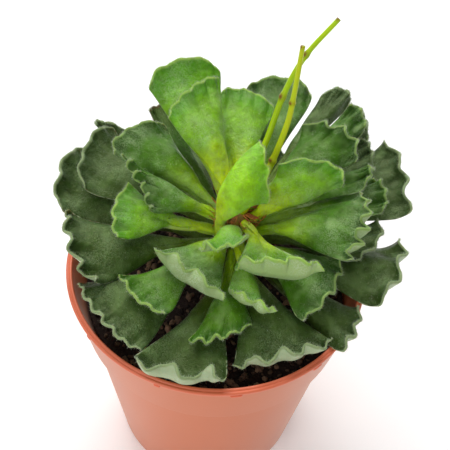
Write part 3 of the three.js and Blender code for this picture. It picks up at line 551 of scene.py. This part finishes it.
# A leaf is given in millimetres and degrees. `at` is the height of its foot on the stem, `turn`
# the swing of its foot round the stem, `left` and `right` the corners of its crest seen from
# the stem, and `bulge` how far the crest stands out beyond the line between them. `arch` is how
# far the leaf bows up and `sag` how far its middle sinks. Its last `roll` millimetres turn up
# through the angle `cup`, and towards the corners that stretch is shorter by the share `pinch`.
# `waves` and `wave` are the count and height of the crest's undulations, `phase` shifts them by
# a part of one, and `scallop` is how much of them runs along the leaf. `petiole` is the
# petiole's share of the length, `wedge` and `flare` say how the blade opens from it, `round`
# draws the corners back and `horn` draws them out. `thick` is the greatest thickness, `tone`
# the leaf's age, and `skin` the name of its colours where they aren't those of its age.
LEAVES = {
    "leaf_01_inner_back_left": dict(
        tone="young", at=61.6, left=(-11, 15, 71), right=(-2.5, 24.5, 73), bulge=1, arch=1.5,
        waves=5, wave=0.45, petiole=0.15, wedge=0.95, flare=0.3),
    "leaf_02_inner_back": dict(
        tone="young", at=59.3, left=(-2.5, 28, 65.5), right=(8.5, 24.5, 67), bulge=1.5, arch=1.5,
        waves=4, wave=0.5, petiole=0.15, wedge=0.85),
    "leaf_03_centre_upright": dict(
        tone="young", skin="newest", at=58.9, left=(6.5, 9, 73), right=(8.5, 0.5, 67), bulge=1,
        arch=4.8, waves=3, wave=0.4, petiole=0.2, wedge=0.7, turn=-175, flare=0),
    "leaf_04_inner_right": dict(
        tone="young", at=61.2, left=(10.5, 7.5, 70), right=(21.5, 5.5, 67.5), bulge=2.5, arch=1,
        waves=4, wave=0.5, petiole=0.1, wedge=0.85, turn=-25, round=1.5),
    "leaf_05_upper_right": dict(
        tone="mid", at=61.8, left=(14.5, 17.5, 69), right=(24, 10.5, 67), bulge=3, arch=1,
        waves=4, wave=0.7, petiole=0.25, wedge=1.5, scallop=0.7, cup=50, round=1.5, flare=0.5),
    "leaf_06_behind_upper_right": dict(
        tone="mid", at=60, left=(23.5, 27.5, 66), right=(26, 22, 63.5), bulge=1, arch=1, waves=3,
        wave=0.6, turn=5, petiole=0.3, flare=0.5, round=1.5, wedge=1.3),
    "leaf_07_right_back_low": dict(
        tone="old", at=55.7, left=(26, 23.5, 61), right=(28, 17, 59.5), bulge=1, arch=1, waves=3,
        wave=0.6, round=1.5, flare=0.8),
    "leaf_08_outer_back_right": dict(
        tone="old", at=57.6, left=(18, 31, 65), right=(24, 30.5, 64.5), bulge=1.5, arch=1,
        waves=3, wave=0.4, wedge=1.5, flare=0.3, petiole=0.3, round=1.5),
    "leaf_09_outer_right_back": dict(
        tone="old", at=52, left=(25, 35, 59.5), right=(28.5, 26.5, 57.5), bulge=1, arch=1,
        waves=3, wave=0.6, flare=0.8),
    "leaf_10_outer_right": dict(
        tone="old", at=53.8, left=(31.5, 26, 58), right=(35, 8.5, 55.5), bulge=1.5, arch=1,
        waves=3, wave=1, cup=60, scallop=0.4),
    "leaf_11_right_small": dict(
        tone="mid", at=59.3, left=(26.5, 12.5, 64.5), right=(25, 7.5, 63.5), bulge=1, arch=1,
        waves=3, wave=0.5, turn=-4),
    "leaf_12_right_long": dict(
        tone="mid", at=57.4, left=(27.5, 12.5, 61), right=(29, 5.5, 60), bulge=1.5, arch=1,
        waves=4, wave=0.6, turn=5),
    "leaf_13_large_right": dict(
        tone="mid", at=57.8, left=(25.5, 4.5, 64.5), right=(22.5, -8.5, 62), bulge=2, arch=1.5,
        waves=5, wave=0.9, petiole=0.2, wedge=0.9, cup=60, scallop=0.6, turn=-6, roll=4),
    "leaf_14_front_right": dict(
        tone="mid", at=56, left=(22, -3, 56), right=(14.5, -16, 54.5), bulge=2, arch=1.5, waves=4,
        wave=0.6, horn=0.8, cup=35),
    "leaf_15_outer_front_right": dict(
        tone="old", at=52.5, left=(34, 4.5, 52), right=(28, -11, 52), bulge=2, arch=1.5, waves=3,
        wave=0.9, cup=65, scallop=0.4),
    "leaf_16_rim_front_right": dict(
        tone="old", at=51.3, left=(25.5, -10.5, 51), right=(22, -19.5, 50.5), bulge=1, arch=0.5,
        waves=3, wave=0.6, cup=60),
    "leaf_17_rim_front": dict(
        tone="old", at=53.6, left=(20.5, -18.5, 51.5), right=(4, -23, 49.5), bulge=0.8, arch=1.5,
        waves=4, wave=0.75, cup=90, scallop=0.6, roll=4.8, phase=0.13, pinch=0.5, sag=0.6),
    "leaf_18_rim_front_left": dict(
        tone="old", at=51.4, left=(3, -26.5, 50), right=(-12.5, -25, 50), bulge=1, arch=1,
        waves=3, wave=1, cup=95, scallop=0.6, roll=6, phase=0.44, pinch=0.7),
    "leaf_19_rim_left_front": dict(
        tone="old", at=52.6, left=(-11.5, -23, 52.5), right=(-23.5, -10.5, 53.5), bulge=1.5,
        arch=1.5, waves=6, wave=0.35, cup=65, roll=3),
    "leaf_20_rim_left": dict(
        tone="old", at=54, left=(-21.5, -12, 55), right=(-27.5, 1, 58), bulge=1.5, arch=1,
        waves=4, wave=0.8, cup=60, scallop=0.6, flare=0.9),
    "leaf_21_outer_left": dict(
        tone="old", at=51.5, left=(-30, 4.5, 55.5), right=(-28, 19, 58), bulge=1.7, arch=-1,
        waves=3, wave=0.5, cup=45, round=2),
    "leaf_22_left_back": dict(
        tone="old", at=55.3, left=(-26.5, 7.5, 59), right=(-23, 21, 62), bulge=1.2, arch=0,
        waves=4, wave=0.5, cup=40, round=2),
    "leaf_23_back_left_small": dict(
        tone="old", at=53, left=(-25.5, 23, 59.5), right=(-20, 23, 59.5), bulge=1.5, arch=0,
        waves=3, wave=0.6),
    "leaf_24_left": dict(
        tone="mid", at=59.9, left=(-12.5, -0.5, 63.5), right=(-18.5, 8, 66.5), bulge=-1, arch=0.6,
        waves=5, wave=0.7, petiole=0.25, wedge=0.8, cup=15, scallop=1, turn=4, flare=0.7),
    "leaf_25_upper_left": dict(
        tone="mid", at=58.9, left=(-21, 11.5, 64.5), right=(-12.5, 18, 67), bulge=1.3, arch=1,
        waves=4, wave=0.6, petiole=0.2, wedge=0.9, round=1.5),
    "leaf_26_inner_left": dict(
        tone="young", at=56.6, left=(-17, -6.5, 61), right=(-16.5, 5.5, 62), bulge=2, arch=1,
        waves=4, wave=0.4, petiole=0.5, flare=0.3, turn=4, horn=0.6),
    "leaf_27_upper_front_left": dict(
        tone="mid", at=57, left=(0.5, -16.5, 58), right=(-11.5, -8.5, 60.5), bulge=-0.5, arch=1,
        waves=3, wave=0.8, petiole=0.1, wedge=0.85, cup=95, roll=4.5, pinch=0.5, sag=1),
    "leaf_28_small_front_left": dict(
        tone="young", skin="fresh", at=55, left=(-8, -18, 56), right=(-16, -11.5, 57), bulge=1,
        arch=1, waves=4, wave=0.3, horn=0.9, cup=30, petiole=0.35, flare=0.7),
    "leaf_29_centre_small": dict(
        tone="young", at=59.4, left=(5, -8.5, 65), right=(-3, -10, 63), bulge=0.5, arch=1.3,
        waves=3, wave=0.5, turn=18, cup=25),
    "leaf_30_inner_front_right": dict(
        tone="young", at=60.8, left=(17.5, -10, 58.5), right=(3, -10.5, 60), bulge=-0.3, arch=1.5,
        waves=4, wave=0.7, petiole=0.3, cup=100, turn=6, roll=6, phase=0.8, pinch=0.75, sag=2.2),
    "leaf_31_small_front": dict(
        tone="young", at=57.2, left=(9, -16.5, 55.5), right=(2, -13.5, 58.5), bulge=0.5, arch=1,
        waves=3, wave=0.5, cup=70, horn=0.5, petiole=0.35, roll=3.5),
    "leaf_32_front": dict(
        tone="young", skin="fresh", at=55.4, left=(6.5, -16.5, 53.5), right=(-3.5, -20.5, 53),
        bulge=1.5, arch=1.5, waves=4, wave=0.5, cup=35, petiole=0.42, flare=0.8, horn=0.8),
    "leaf_33_outer_back": dict(
        tone="mid", at=55.6, left=(3.5, 33, 65), right=(16.5, 32, 64.5), bulge=1.8, arch=1,
        waves=3, wave=0.6, wedge=0.8, round=2, flare=0.5, petiole=0.15),
    "leaf_34_outer_back_left": dict(
        tone="young", at=57.4, left=(-15.5, 24, 71), right=(-2.5, 29.5, 72), bulge=2.2, arch=0,
        waves=4, wave=0.35, scallop=0.6, round=2, wedge=1.4, flare=0.6),
    "leaf_35_withered_back_left": dict(
        tone="old", skin="withered", at=54.8, left=(-15.5, 25.5, 62), right=(-11.5, 27.5, 62),
        bulge=0.5, arch=0, waves=3, wave=0.5, thick=1.6, turn=-4),
    "leaf_36_low_back": dict(
        tone="old", at=53, left=(0.5, 27, 53), right=(12.5, 25.5, 53), bulge=2.5, arch=1, waves=4,
        wave=0.6),
    "leaf_38_right_low": dict(
        tone="old", at=55.2, left=(29.5, 5.5, 56), right=(24.5, -3.5, 55.5), bulge=1.5, arch=1,
        waves=3, wave=0.6, cup=30),
    "leaf_37_low_back_left": dict(
        tone="old", at=51.2, left=(-15, 21.5, 52.5), right=(-4, 26.5, 52.5), bulge=2, arch=1,
        waves=4, wave=0.6),
}
CORNER_SWEEP = np.radians(52)
PETIOLE_RADIUS = 0.9
EDGE_WANDER = 0.3
LOBE = 1.3
FINE_WAVE = 0.2
SLACK = 0.45
FINE_SLACK = 0.28
PILLOW = 0.5


def stem_radius(height):
    """The stem narrows from 2.5 to 2.2 between 57 and 61 mm up."""
    return 2.5 - 0.3 * np.clip((height - 57) / 4, 0, 1)


def leaf_middle(leaf, u, v, start):
    """Middle surface of a leaf, u along it from 0 to 1 and v across it from -1 to 1:
    P = foot + along far + across wide + up lift.
    wide opens from the petiole to the crest as (1 - flare) s ** wedge + flare sin(pi / 2
    s ** 1.6), where s = (u - petiole) / (1 - petiole), with an edge that wanders a little.
    far runs straight to the last stretch, roll, and there goes round an arc of the cup angle.
    lift is the rise of that arc plus arch 4u (1 - u) less sag (1 - v^2) sin(pi u^2.4), plus
    slack, two crossed low waves, and pillow, a crown between the edges.
    The crest's ripple grows from nothing at start as the square of the way to the crest: its
    height is wave (1 + tanh(LOBE sin turn) / tanh LOBE), its push along the leaf scallop wave
    cos turn, and turn goes through pi waves (v + 1). fine is a smaller, quicker series."""
    left, right = np.array(leaf["left"], float), np.array(leaf["right"], float)
    crest = (left + right) / 2
    out = crest[:2] - STEM_AXIS
    bearing = np.arctan2(out[1], out[0]) + np.radians(leaf.get("turn", 0))
    steep = np.sin(np.arctan2(crest[2] - leaf["at"], np.hypot(*out)))
    off = stem_radius(leaf["at"]) + GAP + PETIOLE_RADIUS * max(0, steep)
    foot = np.array([STEM_AXIS[0] + off * np.cos(bearing), STEM_AXIS[1] + off * np.sin(bearing),
                     leaf["at"]])
    along = crest - foot
    length = np.linalg.norm(along)
    along /= length
    across = (right - left) / 2
    skew = across @ along
    across = across - skew * along
    width = np.linalg.norm(across)
    across /= width
    up = np.cross(across, along)
    petiole = leaf.get("petiole", 0.25)
    swing = np.sin(CORNER_SWEEP * v) / np.sin(CORNER_SWEEP)
    swell = (np.cos(CORNER_SWEEP * v) - np.cos(CORNER_SWEEP)) / (1 - np.cos(CORNER_SWEEP))
    s = np.clip((u - petiole) / (1 - petiole), 0, None)
    seed = left[0]
    flare = leaf.get("flare", 0.5)
    spread = (1 - flare) * s ** leaf.get("wedge", 1) + flare * np.sin(np.pi / 2 * s ** 1.6)
    narrow = PETIOLE_RADIUS / width
    edge = EDGE_WANDER * s * np.sin(9 * u + 1.3 * seed + 2 * v) * v
    wide = (narrow + (1 - narrow) * spread) * width * swing + edge
    reach = length + swing * skew + leaf["bulge"] * swell
    cup = np.radians(leaf.get("cup", 20))
    whole_roll = leaf.get("roll", 5) / length
    roll = whole_roll * (1 - leaf.get("pinch", 0) * v ** 2)
    q = np.clip((u - 1 + roll) / roll, 0, 1)
    bend = cup * q
    scale = 1 / (1 - roll + roll * np.sin(cup) / cup)
    far = reach * scale * (np.minimum(u, 1 - roll) + roll * np.sin(bend) / cup)
    rise = reach * scale * roll * (1 - np.cos(bend)) / cup \
        + reach * (whole_roll - roll) * (1 - np.cos(cup)) / cup * u ** 2
    near = np.clip((u - start) / (1 - start), 0, 1)
    turn = np.pi * (leaf["waves"] * (v + 1) + 2 * leaf.get("phase", 0)) \
        + 0.4 * np.sin(2.7 * v + seed)
    uneven = 0.85 + 0.25 * np.sin(3.1 * v + seed) + 0.15 * np.sin(7.7 * v + 2 * seed)
    ripple = near ** 2 * leaf["wave"] * uneven
    fine = near ** 4 * leaf["wave"] * FINE_WAVE * np.sin(2.3 * turn + seed)
    high = ripple * (1 + np.tanh(LOBE * np.sin(turn)) / np.tanh(LOBE)) + fine
    forth = leaf.get("scallop", 0.4) * ripple * np.cos(turn) + 0.5 * fine
    horn = leaf.get("horn", 0) * near ** 3 * np.abs(v) ** 10
    forth = forth - (0 if leaf.get("horn") else leaf.get("round", 0.8)) * near ** 2 * v ** 4
    slack = SLACK * np.sin(5 * u + seed) * np.sin(2.2 * v + 1.7 * seed) \
        + FINE_SLACK * np.sin(11 * u + 2 * seed) * np.sin(5.2 * v + seed)
    pillow = PILLOW * np.sin(np.pi * np.clip(s, 0, 1)) * (1 - 2 * v ** 2)
    sag = leaf.get("sag", 0) * (1 - v ** 2) * np.sin(np.pi * np.clip(u, 0, 1) ** 2.4)
    lift = leaf["arch"] * 4 * u * (1 - u) + rise - sag + (slack + pillow) * np.clip(2 * u, 0, 1)
    far = far + forth * np.cos(bend) - high * np.sin(bend) + 0.6 * horn
    lift = lift + forth * np.sin(bend) + high * np.cos(bend) + horn
    return foot + along * far[..., None] + across * wide[..., None] + up * lift[..., None]


THICK = 2.4
LIP = 0.25
DEPTHS_AT = [0, 0.35, 0.7, 0.85, 0.95, 1]
RIPPLE_START = 0.7
UNDERSIDE_DELAY = 0.08
LEAF_ROWS = 40
LIP_STEPS = 7
COLUMNS_A_WAVE = 16
MORE_COLUMNS = 25


def leaf_side(leaf, u, v, top):
    """One face of a leaf: its middle surface moved along its normal by the half thickness,
    which falls to nothing at the sides as sqrt(1 - |v| ** k). On the underside the ripple
    starts later, so that it stays smooth almost to the crest."""
    k = 2 + 0.6 * np.clip(2 * (u - 0.2), 0, 1)
    blunt = np.sqrt(np.clip(1 - np.abs(v) ** k, 0, 1))
    start = RIPPLE_START + (0 if top else UNDERSIDE_DELAY) * blunt
    step = 0.002
    p = leaf_middle(leaf, u, v, start)
    ahead = leaf_middle(leaf, np.minimum(u + step, 1), v, start) \
        - leaf_middle(leaf, u - step, v, start)
    aside = leaf_middle(leaf, u, np.minimum(v + step, 1), start) \
        - leaf_middle(leaf, u, np.maximum(v - step, -1), start)
    normal = np.cross(aside, ahead)
    normal /= np.linalg.norm(normal, axis=-1)[..., None]
    petiole = leaf.get("petiole", 0.25)
    s = np.clip((u - petiole) / (1 - petiole), 0, 1)
    thick = leaf.get("thick", THICK)
    outer = (0.36 * thick, 0.45, 0.22) if top else (0.45 * thick, 0.4 * thick, 0.36)
    deep = np.interp(s, DEPTHS_AT, [PETIOLE_RADIUS, 0.5 * thick, *outer, LIP])
    away = deep * blunt * (1 if top else -1)
    return p + normal * away[..., None]


def leaf_patch(leaf):
    """Closed skin of a leaf as one grid: the top from foot to crest, half a turn round the
    lip, (a + b) / 2 + (a - b) / 2 cos w + ahead sin w, and the underside back to the foot.
    With it go its faces, the share along the leaf and the side: 0 on top, 1 underneath."""
    columns = COLUMNS_A_WAVE * leaf["waves"] + MORE_COLUMNS
    even = np.linspace(-1, 1, columns)
    v = (0.8 * even + 0.2 * np.sin(np.pi * even / 2))[None, :]
    rows = np.linspace(-0.03, 1, LEAF_ROWS)
    rows = rows + 0.06 * np.sin(np.pi * np.clip(rows, 0, 1))
    u = rows[:, None] + 0 * v
    v = v + 0 * u
    top, below = leaf_side(leaf, u, v, True), leaf_side(leaf, u, v, False)
    a, b = top[-1], below[-1]
    ahead = (top[-1] - top[-2]) + (below[-1] - below[-2])
    ahead /= np.linalg.norm(ahead, axis=-1)[..., None]
    w = np.linspace(0, np.pi, LIP_STEPS + 2)[1:-1, None, None]
    gap = np.linalg.norm(a - b, axis=-1)[..., None] / 2
    lip = (a + b) / 2 + (a - b) / 2 * np.cos(w) + ahead * gap * np.sin(w)
    foot = (top[:1] + below[:1]) / 2
    grid = np.concatenate([foot, top, lip, below[::-1], foot])
    share = np.concatenate([rows[:1], rows, np.ones(LIP_STEPS), rows[::-1], rows[:1]])
    under = np.concatenate([np.zeros(LEAF_ROWS + 1), np.linspace(0, 1, LIP_STEPS),
                            np.ones(LEAF_ROWS + 1)])
    share, under = share[:, None] + 0 * v[0], under[:, None] + 0 * v[0]
    return grid, grid_faces(len(grid), columns), share, under


# Leaf skin: fleshy, satin and slightly translucent, set with fine white hairs. It is yellow
# green at the petiole, deeper green in the blade and darkest just inside the crest, with a
# pale lip and a frosty underside; old leaves are duller and greyer. The hair bases are about
# 0.15 mm apart on the plant and are drawn at 0.18 mm, the finest that shows, as pale specks that
# also carry a painted glint. The small hollows are 1.6 mm across, with painted shade in them and
# a painted highlight on the rises between. The frost lies in patches of 4 mm, a pale veil that is
# partly real frost and partly painted sheen.
def leaf_skin(name, foot, blade, deep, lip, under, frost_and_sheen_amount, gloss):
    made, tree, shader = surface_of(name)
    where = add(tree, "ShaderNodeTexCoord").outputs["Object"]
    share = add(tree, "ShaderNodeAttribute", attribute_name="share").outputs["Fac"]
    side = add(tree, "ShaderNodeAttribute", attribute_name="under").outputs["Fac"]
    mottle = add(tree, "ShaderNodeTexNoise", {"Vector": where, "Scale": 190.0, "Detail": 5.0,
                                              "Roughness": 0.6})
    wander = add(tree, "ShaderNodeMath", {0: mottle.outputs["Fac"], 1: 0.35, 2: -0.175},
                 operation="MULTIPLY_ADD")
    place = add(tree, "ShaderNodeMath", {0: share, 1: wander.outputs[0]}, operation="ADD")
    low = add(tree, "ShaderNodeMapRange", {"Value": place.outputs[0], "From Min": 0.2,
                                           "From Max": 0.62}, interpolation_type="SMOOTHSTEP")
    green = add(tree, "ShaderNodeMix", {"Factor": low.outputs[0], 6: colour(foot),
                                        7: colour(blade)}, data_type="RGBA")
    high = add(tree, "ShaderNodeMapRange", {"Value": place.outputs[0], "From Min": 0.72,
                                            "From Max": 0.95}, interpolation_type="SMOOTHSTEP")
    graded = add(tree, "ShaderNodeMix", {"Factor": high.outputs[0], 6: green.outputs[2],
                                         7: colour(deep)}, data_type="RGBA")
    patchy = add(tree, "ShaderNodeMapRange", {"Value": mottle.outputs["Fac"], "From Min": 0.44,
                                              "From Max": 0.62})
    # Painted shade and highlight: this noise is the height of the small hollows, and through the next
    # two nodes it also darkens the colour in the hollows and lightens it on the rises.
    hollows_and_painted_shade = add(tree, "ShaderNodeTexNoise", {"Vector": where, "Scale": 620.0, "Detail": 4.0,
                                              "Roughness": 0.65})
    painted_shade_and_highlight = add(tree, "ShaderNodeMapRange", {"Value": hollows_and_painted_shade.outputs["Fac"], "From Min": 0.3,
                                             "From Max": 0.7, "To Min": 0.66, "To Max": 1.28})
    painted_hollow_light = add(tree, "ShaderNodeHueSaturation", {"Color": graded.outputs[2],
                                                     "Value": painted_shade_and_highlight.outputs[0]})
    # Pale specks at the hair bases, partly real and partly a painted glint on them; the same cells
    # raise the pimples of the bump.
    hairs = add(tree, "ShaderNodeTexVoronoi", {"Vector": where, "Scale": 5600.0})
    hair_speck_and_glint = add(tree, "ShaderNodeMapRange", {"Value": hairs.outputs["Distance"],
                                             "From Min": 0.7, "From Max": 0.15})
    scattered_specks_and_glints = add(tree, "ShaderNodeMath", {0: hair_speck_and_glint.outputs[0], 1: patchy.outputs[0]},
                    operation="MULTIPLY")
    speck_and_glint_share = add(tree, "ShaderNodeMath", {0: scattered_specks_and_glints.outputs[0], 1: frost_and_sheen_amount},
                  operation="MULTIPLY")
    # Pale veil in patches of 4 mm, partly the real frost of the hairs and partly painted sheen.
    drift = add(tree, "ShaderNodeTexNoise", {"Vector": where, "Scale": 260.0, "Detail": 2.0})
    sheen_and_frost_veil = add(tree, "ShaderNodeMapRange", {"Value": drift.outputs["Fac"], "From Min": 0.5,
                                            "From Max": 0.68, "To Max": frost_and_sheen_amount * 0.45},
               interpolation_type="SMOOTHSTEP")
    sheen_and_frost_veiled = add(tree, "ShaderNodeMix", {"Factor": sheen_and_frost_veil.outputs[0], 6: painted_hollow_light.outputs[0],
                                         7: colour("#a8cc80")}, data_type="RGBA")
    upper = add(tree, "ShaderNodeMix", {"Factor": speck_and_glint_share.outputs[0], 6: sheen_and_frost_veiled.outputs[2],
                                        7: colour("#b0cc94")}, data_type="RGBA")
    pale = add(tree, "ShaderNodeMix", {"Factor": low.outputs[0], 6: colour(foot),
                                       7: colour(under)}, data_type="RGBA")
    below = add(tree, "ShaderNodeMix", {"Factor": speck_and_glint_share.outputs[0], 6: pale.outputs[2],
                                        7: colour("#e0ecd0")}, data_type="RGBA")
    both = add(tree, "ShaderNodeMix", {"Factor": side, 6: upper.outputs[2],
                                       7: below.outputs[2]}, data_type="RGBA")
    at_lip = add(tree, "ShaderNodeMapRange", {"Value": share, "From Min": 0.984,
                                              "From Max": 1.0}, interpolation_type="SMOOTHSTEP")
    edged = add(tree, "ShaderNodeMix", {"Factor": at_lip.outputs[0], 6: both.outputs[2],
                                        7: colour(lip)}, data_type="RGBA")
    tree.links.new(edged.outputs[2], shader.inputs["Base Color"])
    dulled = add(tree, "ShaderNodeMapRange", {"Value": mottle.outputs["Fac"],
                                              "To Min": gloss - 0.1, "To Max": gloss + 0.12})
    tree.links.new(dulled.outputs[0], shader.inputs["Roughness"])
    bump = add(tree, "ShaderNodeBump", {"Height": hollows_and_painted_shade.outputs["Fac"], "Strength": 0.7,
                                        "Distance": 0.0005})
    pimples = add(tree, "ShaderNodeBump", {"Height": hair_speck_and_glint.outputs[0], "Strength": 0.5,
                                           "Distance": 0.00008, "Normal": bump.outputs[0]})
    tree.links.new(pimples.outputs[0], shader.inputs["Normal"])
    shader.inputs["Subsurface Weight"].default_value = 0.12
    shader.inputs["Subsurface Scale"].default_value = 0.001
    shader.inputs["Specular IOR Level"].default_value = 0.5
    shader.inputs["Specular Tint"].default_value = (0.85, 1.0, 0.5, 1.0)
    shader.inputs["Sheen Weight"].default_value = 0.05
    shader.inputs["Sheen Roughness"].default_value = 0.5
    return made


SKINS = {
    "newest": leaf_skin("newest_leaf_skin", "#d4ec10", "#98d410", "#7cc00c", "#b0d858",
                        "#a8c870", 0.3, 0.32),
    "young": leaf_skin("young_leaf_skin", "#cce804", "#78b00e", "#54960c", "#9cc458",
                       "#a4c078", 0.5, 0.32),
    "fresh": leaf_skin("half_grown_leaf_skin", "#a4c804", "#508208", "#386a06", "#94b858",
                       "#a0b878", 0.5, 0.32),
    "mid": leaf_skin("grown_leaf_skin", "#98c004", "#427408", "#2c5806", "#8cac5c",
                     "#9cb478", 0.6, 0.33),
    "old": leaf_skin("old_leaf_skin", "#587014", "#334e12", "#263e0c", "#8ca070",
                     "#acbc94", 0.32, 0.38),
    "withered": leaf_skin("withered_leaf_skin", "#5a7a14", "#3c6812", "#40561a", "#5a4028",
                          "#8c8468", 0.3, 0.6),
}

grids = []
for name, leaf in LEAVES.items():
    grid, faces, share, under = leaf_patch(leaf)
    grids.append(grid)
    piece(name.replace("leaf_", "blade_"), [(grid, faces)],
          SKINS[leaf.get("skin", leaf["tone"])], [name],
          notes={"share": share, "under": under}, weld=0.0008)

# Leaf hairs: white hairs about 0.4 mm long all over the blades, closest along the lips,
# where they make the frosty edge. On the plant there are ten times as many, and finer.
BLADE_HAIRS = 420
LIP_HAIRS = 300
HAIR_RADIUS = 0.02
HAIR_LENGTHS = (0.22, 0.5)
HAIR_LEAN = 0.45
HAIR_SUNK = 0.05


def hair_needles(grid, random):
    """Closed needles on a leaf's grid: a triangle of radius HAIR_RADIUS, HAIR_SUNK under the
    skin, and a point at P + long (normal + HAIR_LEAN side), with the normal du x dv turned
    away from the leaf."""
    normal = np.cross(np.gradient(grid, axis=0), np.gradient(grid, axis=1))
    normal /= np.linalg.norm(normal, axis=-1)[..., None] + 1e-9
    normal *= np.sign((normal * (grid - grid[::-1])).sum())
    rows, columns = grid.shape[:2]
    row = np.concatenate([random.integers(6, rows - 7, BLADE_HAIRS),
                          random.integers(LEAF_ROWS, LEAF_ROWS + LIP_STEPS, LIP_HAIRS)])
    column = random.integers(1, columns - 2, len(row))
    a, b = random.uniform(0, 1, (2, len(row), 1))
    here, n = grid[row, column], normal[row, column]
    here = here + a * (grid[row + 1, column] - here) + b * (grid[row, column + 1] - here)
    side = np.cross(n, random.normal(0, 1, n.shape))
    side /= np.linalg.norm(side, axis=1)[:, None] + 1e-9
    other = np.cross(n, side)
    long = random.uniform(*HAIR_LENGTHS, (len(row), 1))
    tip = here + long * (n + HAIR_LEAN * side)
    root = here - HAIR_SUNK * n
    turns = np.radians([0, 120, 240])
    base = [root + HAIR_RADIUS * (side * np.cos(w) + other * np.sin(w)) for w in turns]
    return np.stack(base + [tip], axis=1)


def needle_faces(count):
    """Four faces for each needle: its foot and its three sides."""
    one = np.array([(0, 2, 1), (0, 1, 3), (1, 2, 3), (2, 0, 3)])
    return (one[None] + 4 * np.arange(count)[:, None, None]).reshape(-1, 3)


# Plant hair: clear white with a faint green cast that varies from hair to hair.
def hair_skin(name, clear, tinted):
    made, tree, shader = surface_of(name)
    where = add(tree, "ShaderNodeTexCoord").outputs["Object"]
    vary = add(tree, "ShaderNodeTexNoise", {"Vector": where, "Scale": 2500.0, "Detail": 1.0})
    mixed = add(tree, "ShaderNodeMix", {"Factor": vary.outputs["Fac"], 6: colour(clear),
                                        7: colour(tinted)}, data_type="RGBA")
    tree.links.new(mixed.outputs[2], shader.inputs["Base Color"])
    shader.inputs["Roughness"].default_value = 0.5
    shader.inputs["Alpha"].default_value = 0.7
    return made


random = np.random.default_rng(31)
needles = np.concatenate([hair_needles(grid, random) for grid in grids])
piece("leaf_hairs", [(needles, needle_faces(len(needles)))],
      hair_skin("white_leaf_hair", "#f0f6e4", "#b8cc94"))

# Stage: a plain pale floor under soft studio light, brightest from behind, and a camera that
# looks down on the plant where the photographer's did.
floor_mesh = bpy.data.meshes.new("floor")
floor_mesh.from_pydata([(-3, -3, 0), (3, -3, 0), (3, 3, 0), (-3, 3, 0)], [], [(0, 1, 2, 3)])
floor = bpy.data.objects.new("floor", floor_mesh)
bpy.context.scene.collection.objects.link(floor)
paper, tree, shader = surface_of("matte_white_paper")
shader.inputs["Base Color"].default_value = colour("#f8f8f7")
shader.inputs["Roughness"].default_value = 0.95
shader.inputs["Emission Color"].default_value = (1.0, 1.0, 1.0, 1.0)
shader.inputs["Emission Strength"].default_value = 0.2
floor.data.materials.append(paper)

world = bpy.data.worlds.new("studio")
bpy.context.scene.world = world
world.use_nodes = True
world.node_tree.nodes["Background"].inputs[0].default_value = (0.95, 0.97, 1.0, 1.0)
world.node_tree.nodes["Background"].inputs[1].default_value = 0.35


def softbox(name, place, size, power, target=(0, 0, 0.05)):
    """Square area light at a place in metres, turned to face the target."""
    data = bpy.data.lights.new(name, "AREA")
    data.shape = "SQUARE"
    data.size = size
    data.energy = power
    made = bpy.data.objects.new(name, data)
    bpy.context.scene.collection.objects.link(made)
    away = np.array(place) - np.array(target)
    away /= np.linalg.norm(away)
    side = np.cross((0.0, 1.0, 0.001), away)
    side /= np.linalg.norm(side)
    other = np.cross(away, side)
    turn = np.eye(4)
    turn[:3] = np.stack([side, other, away, place], axis=1)
    made.matrix_world = Matrix(turn.tolist())


softbox("key_softbox", (-0.12, 0.45, 0.75), 0.55, 5.8)
softbox("fill_softbox", (-0.4, -0.65, 0.45), 0.6, 2.2)

# The camera's lens and place follow from the ellipse of the pot's lip and the pot's taper.
camera = bpy.data.objects.new("photo_camera", bpy.data.cameras.new("photo_camera"))
bpy.context.scene.collection.objects.link(camera)
camera.data.sensor_width = 36
camera.data.lens = 66.47
camera.data.clip_start = 0.01
camera.matrix_world = Matrix((
    (0.9975, -0.0699, -0.0068, 0.0),
    (0.0485, 0.7553, -0.6536, -0.09472),
    (0.0508, 0.6516, 0.7568, 0.17003),
    (0.0, 0.0, 0.0, 1.0),
))
bpy.context.scene.camera = camera
bpy.context.scene.view_settings.view_transform = "Standard"
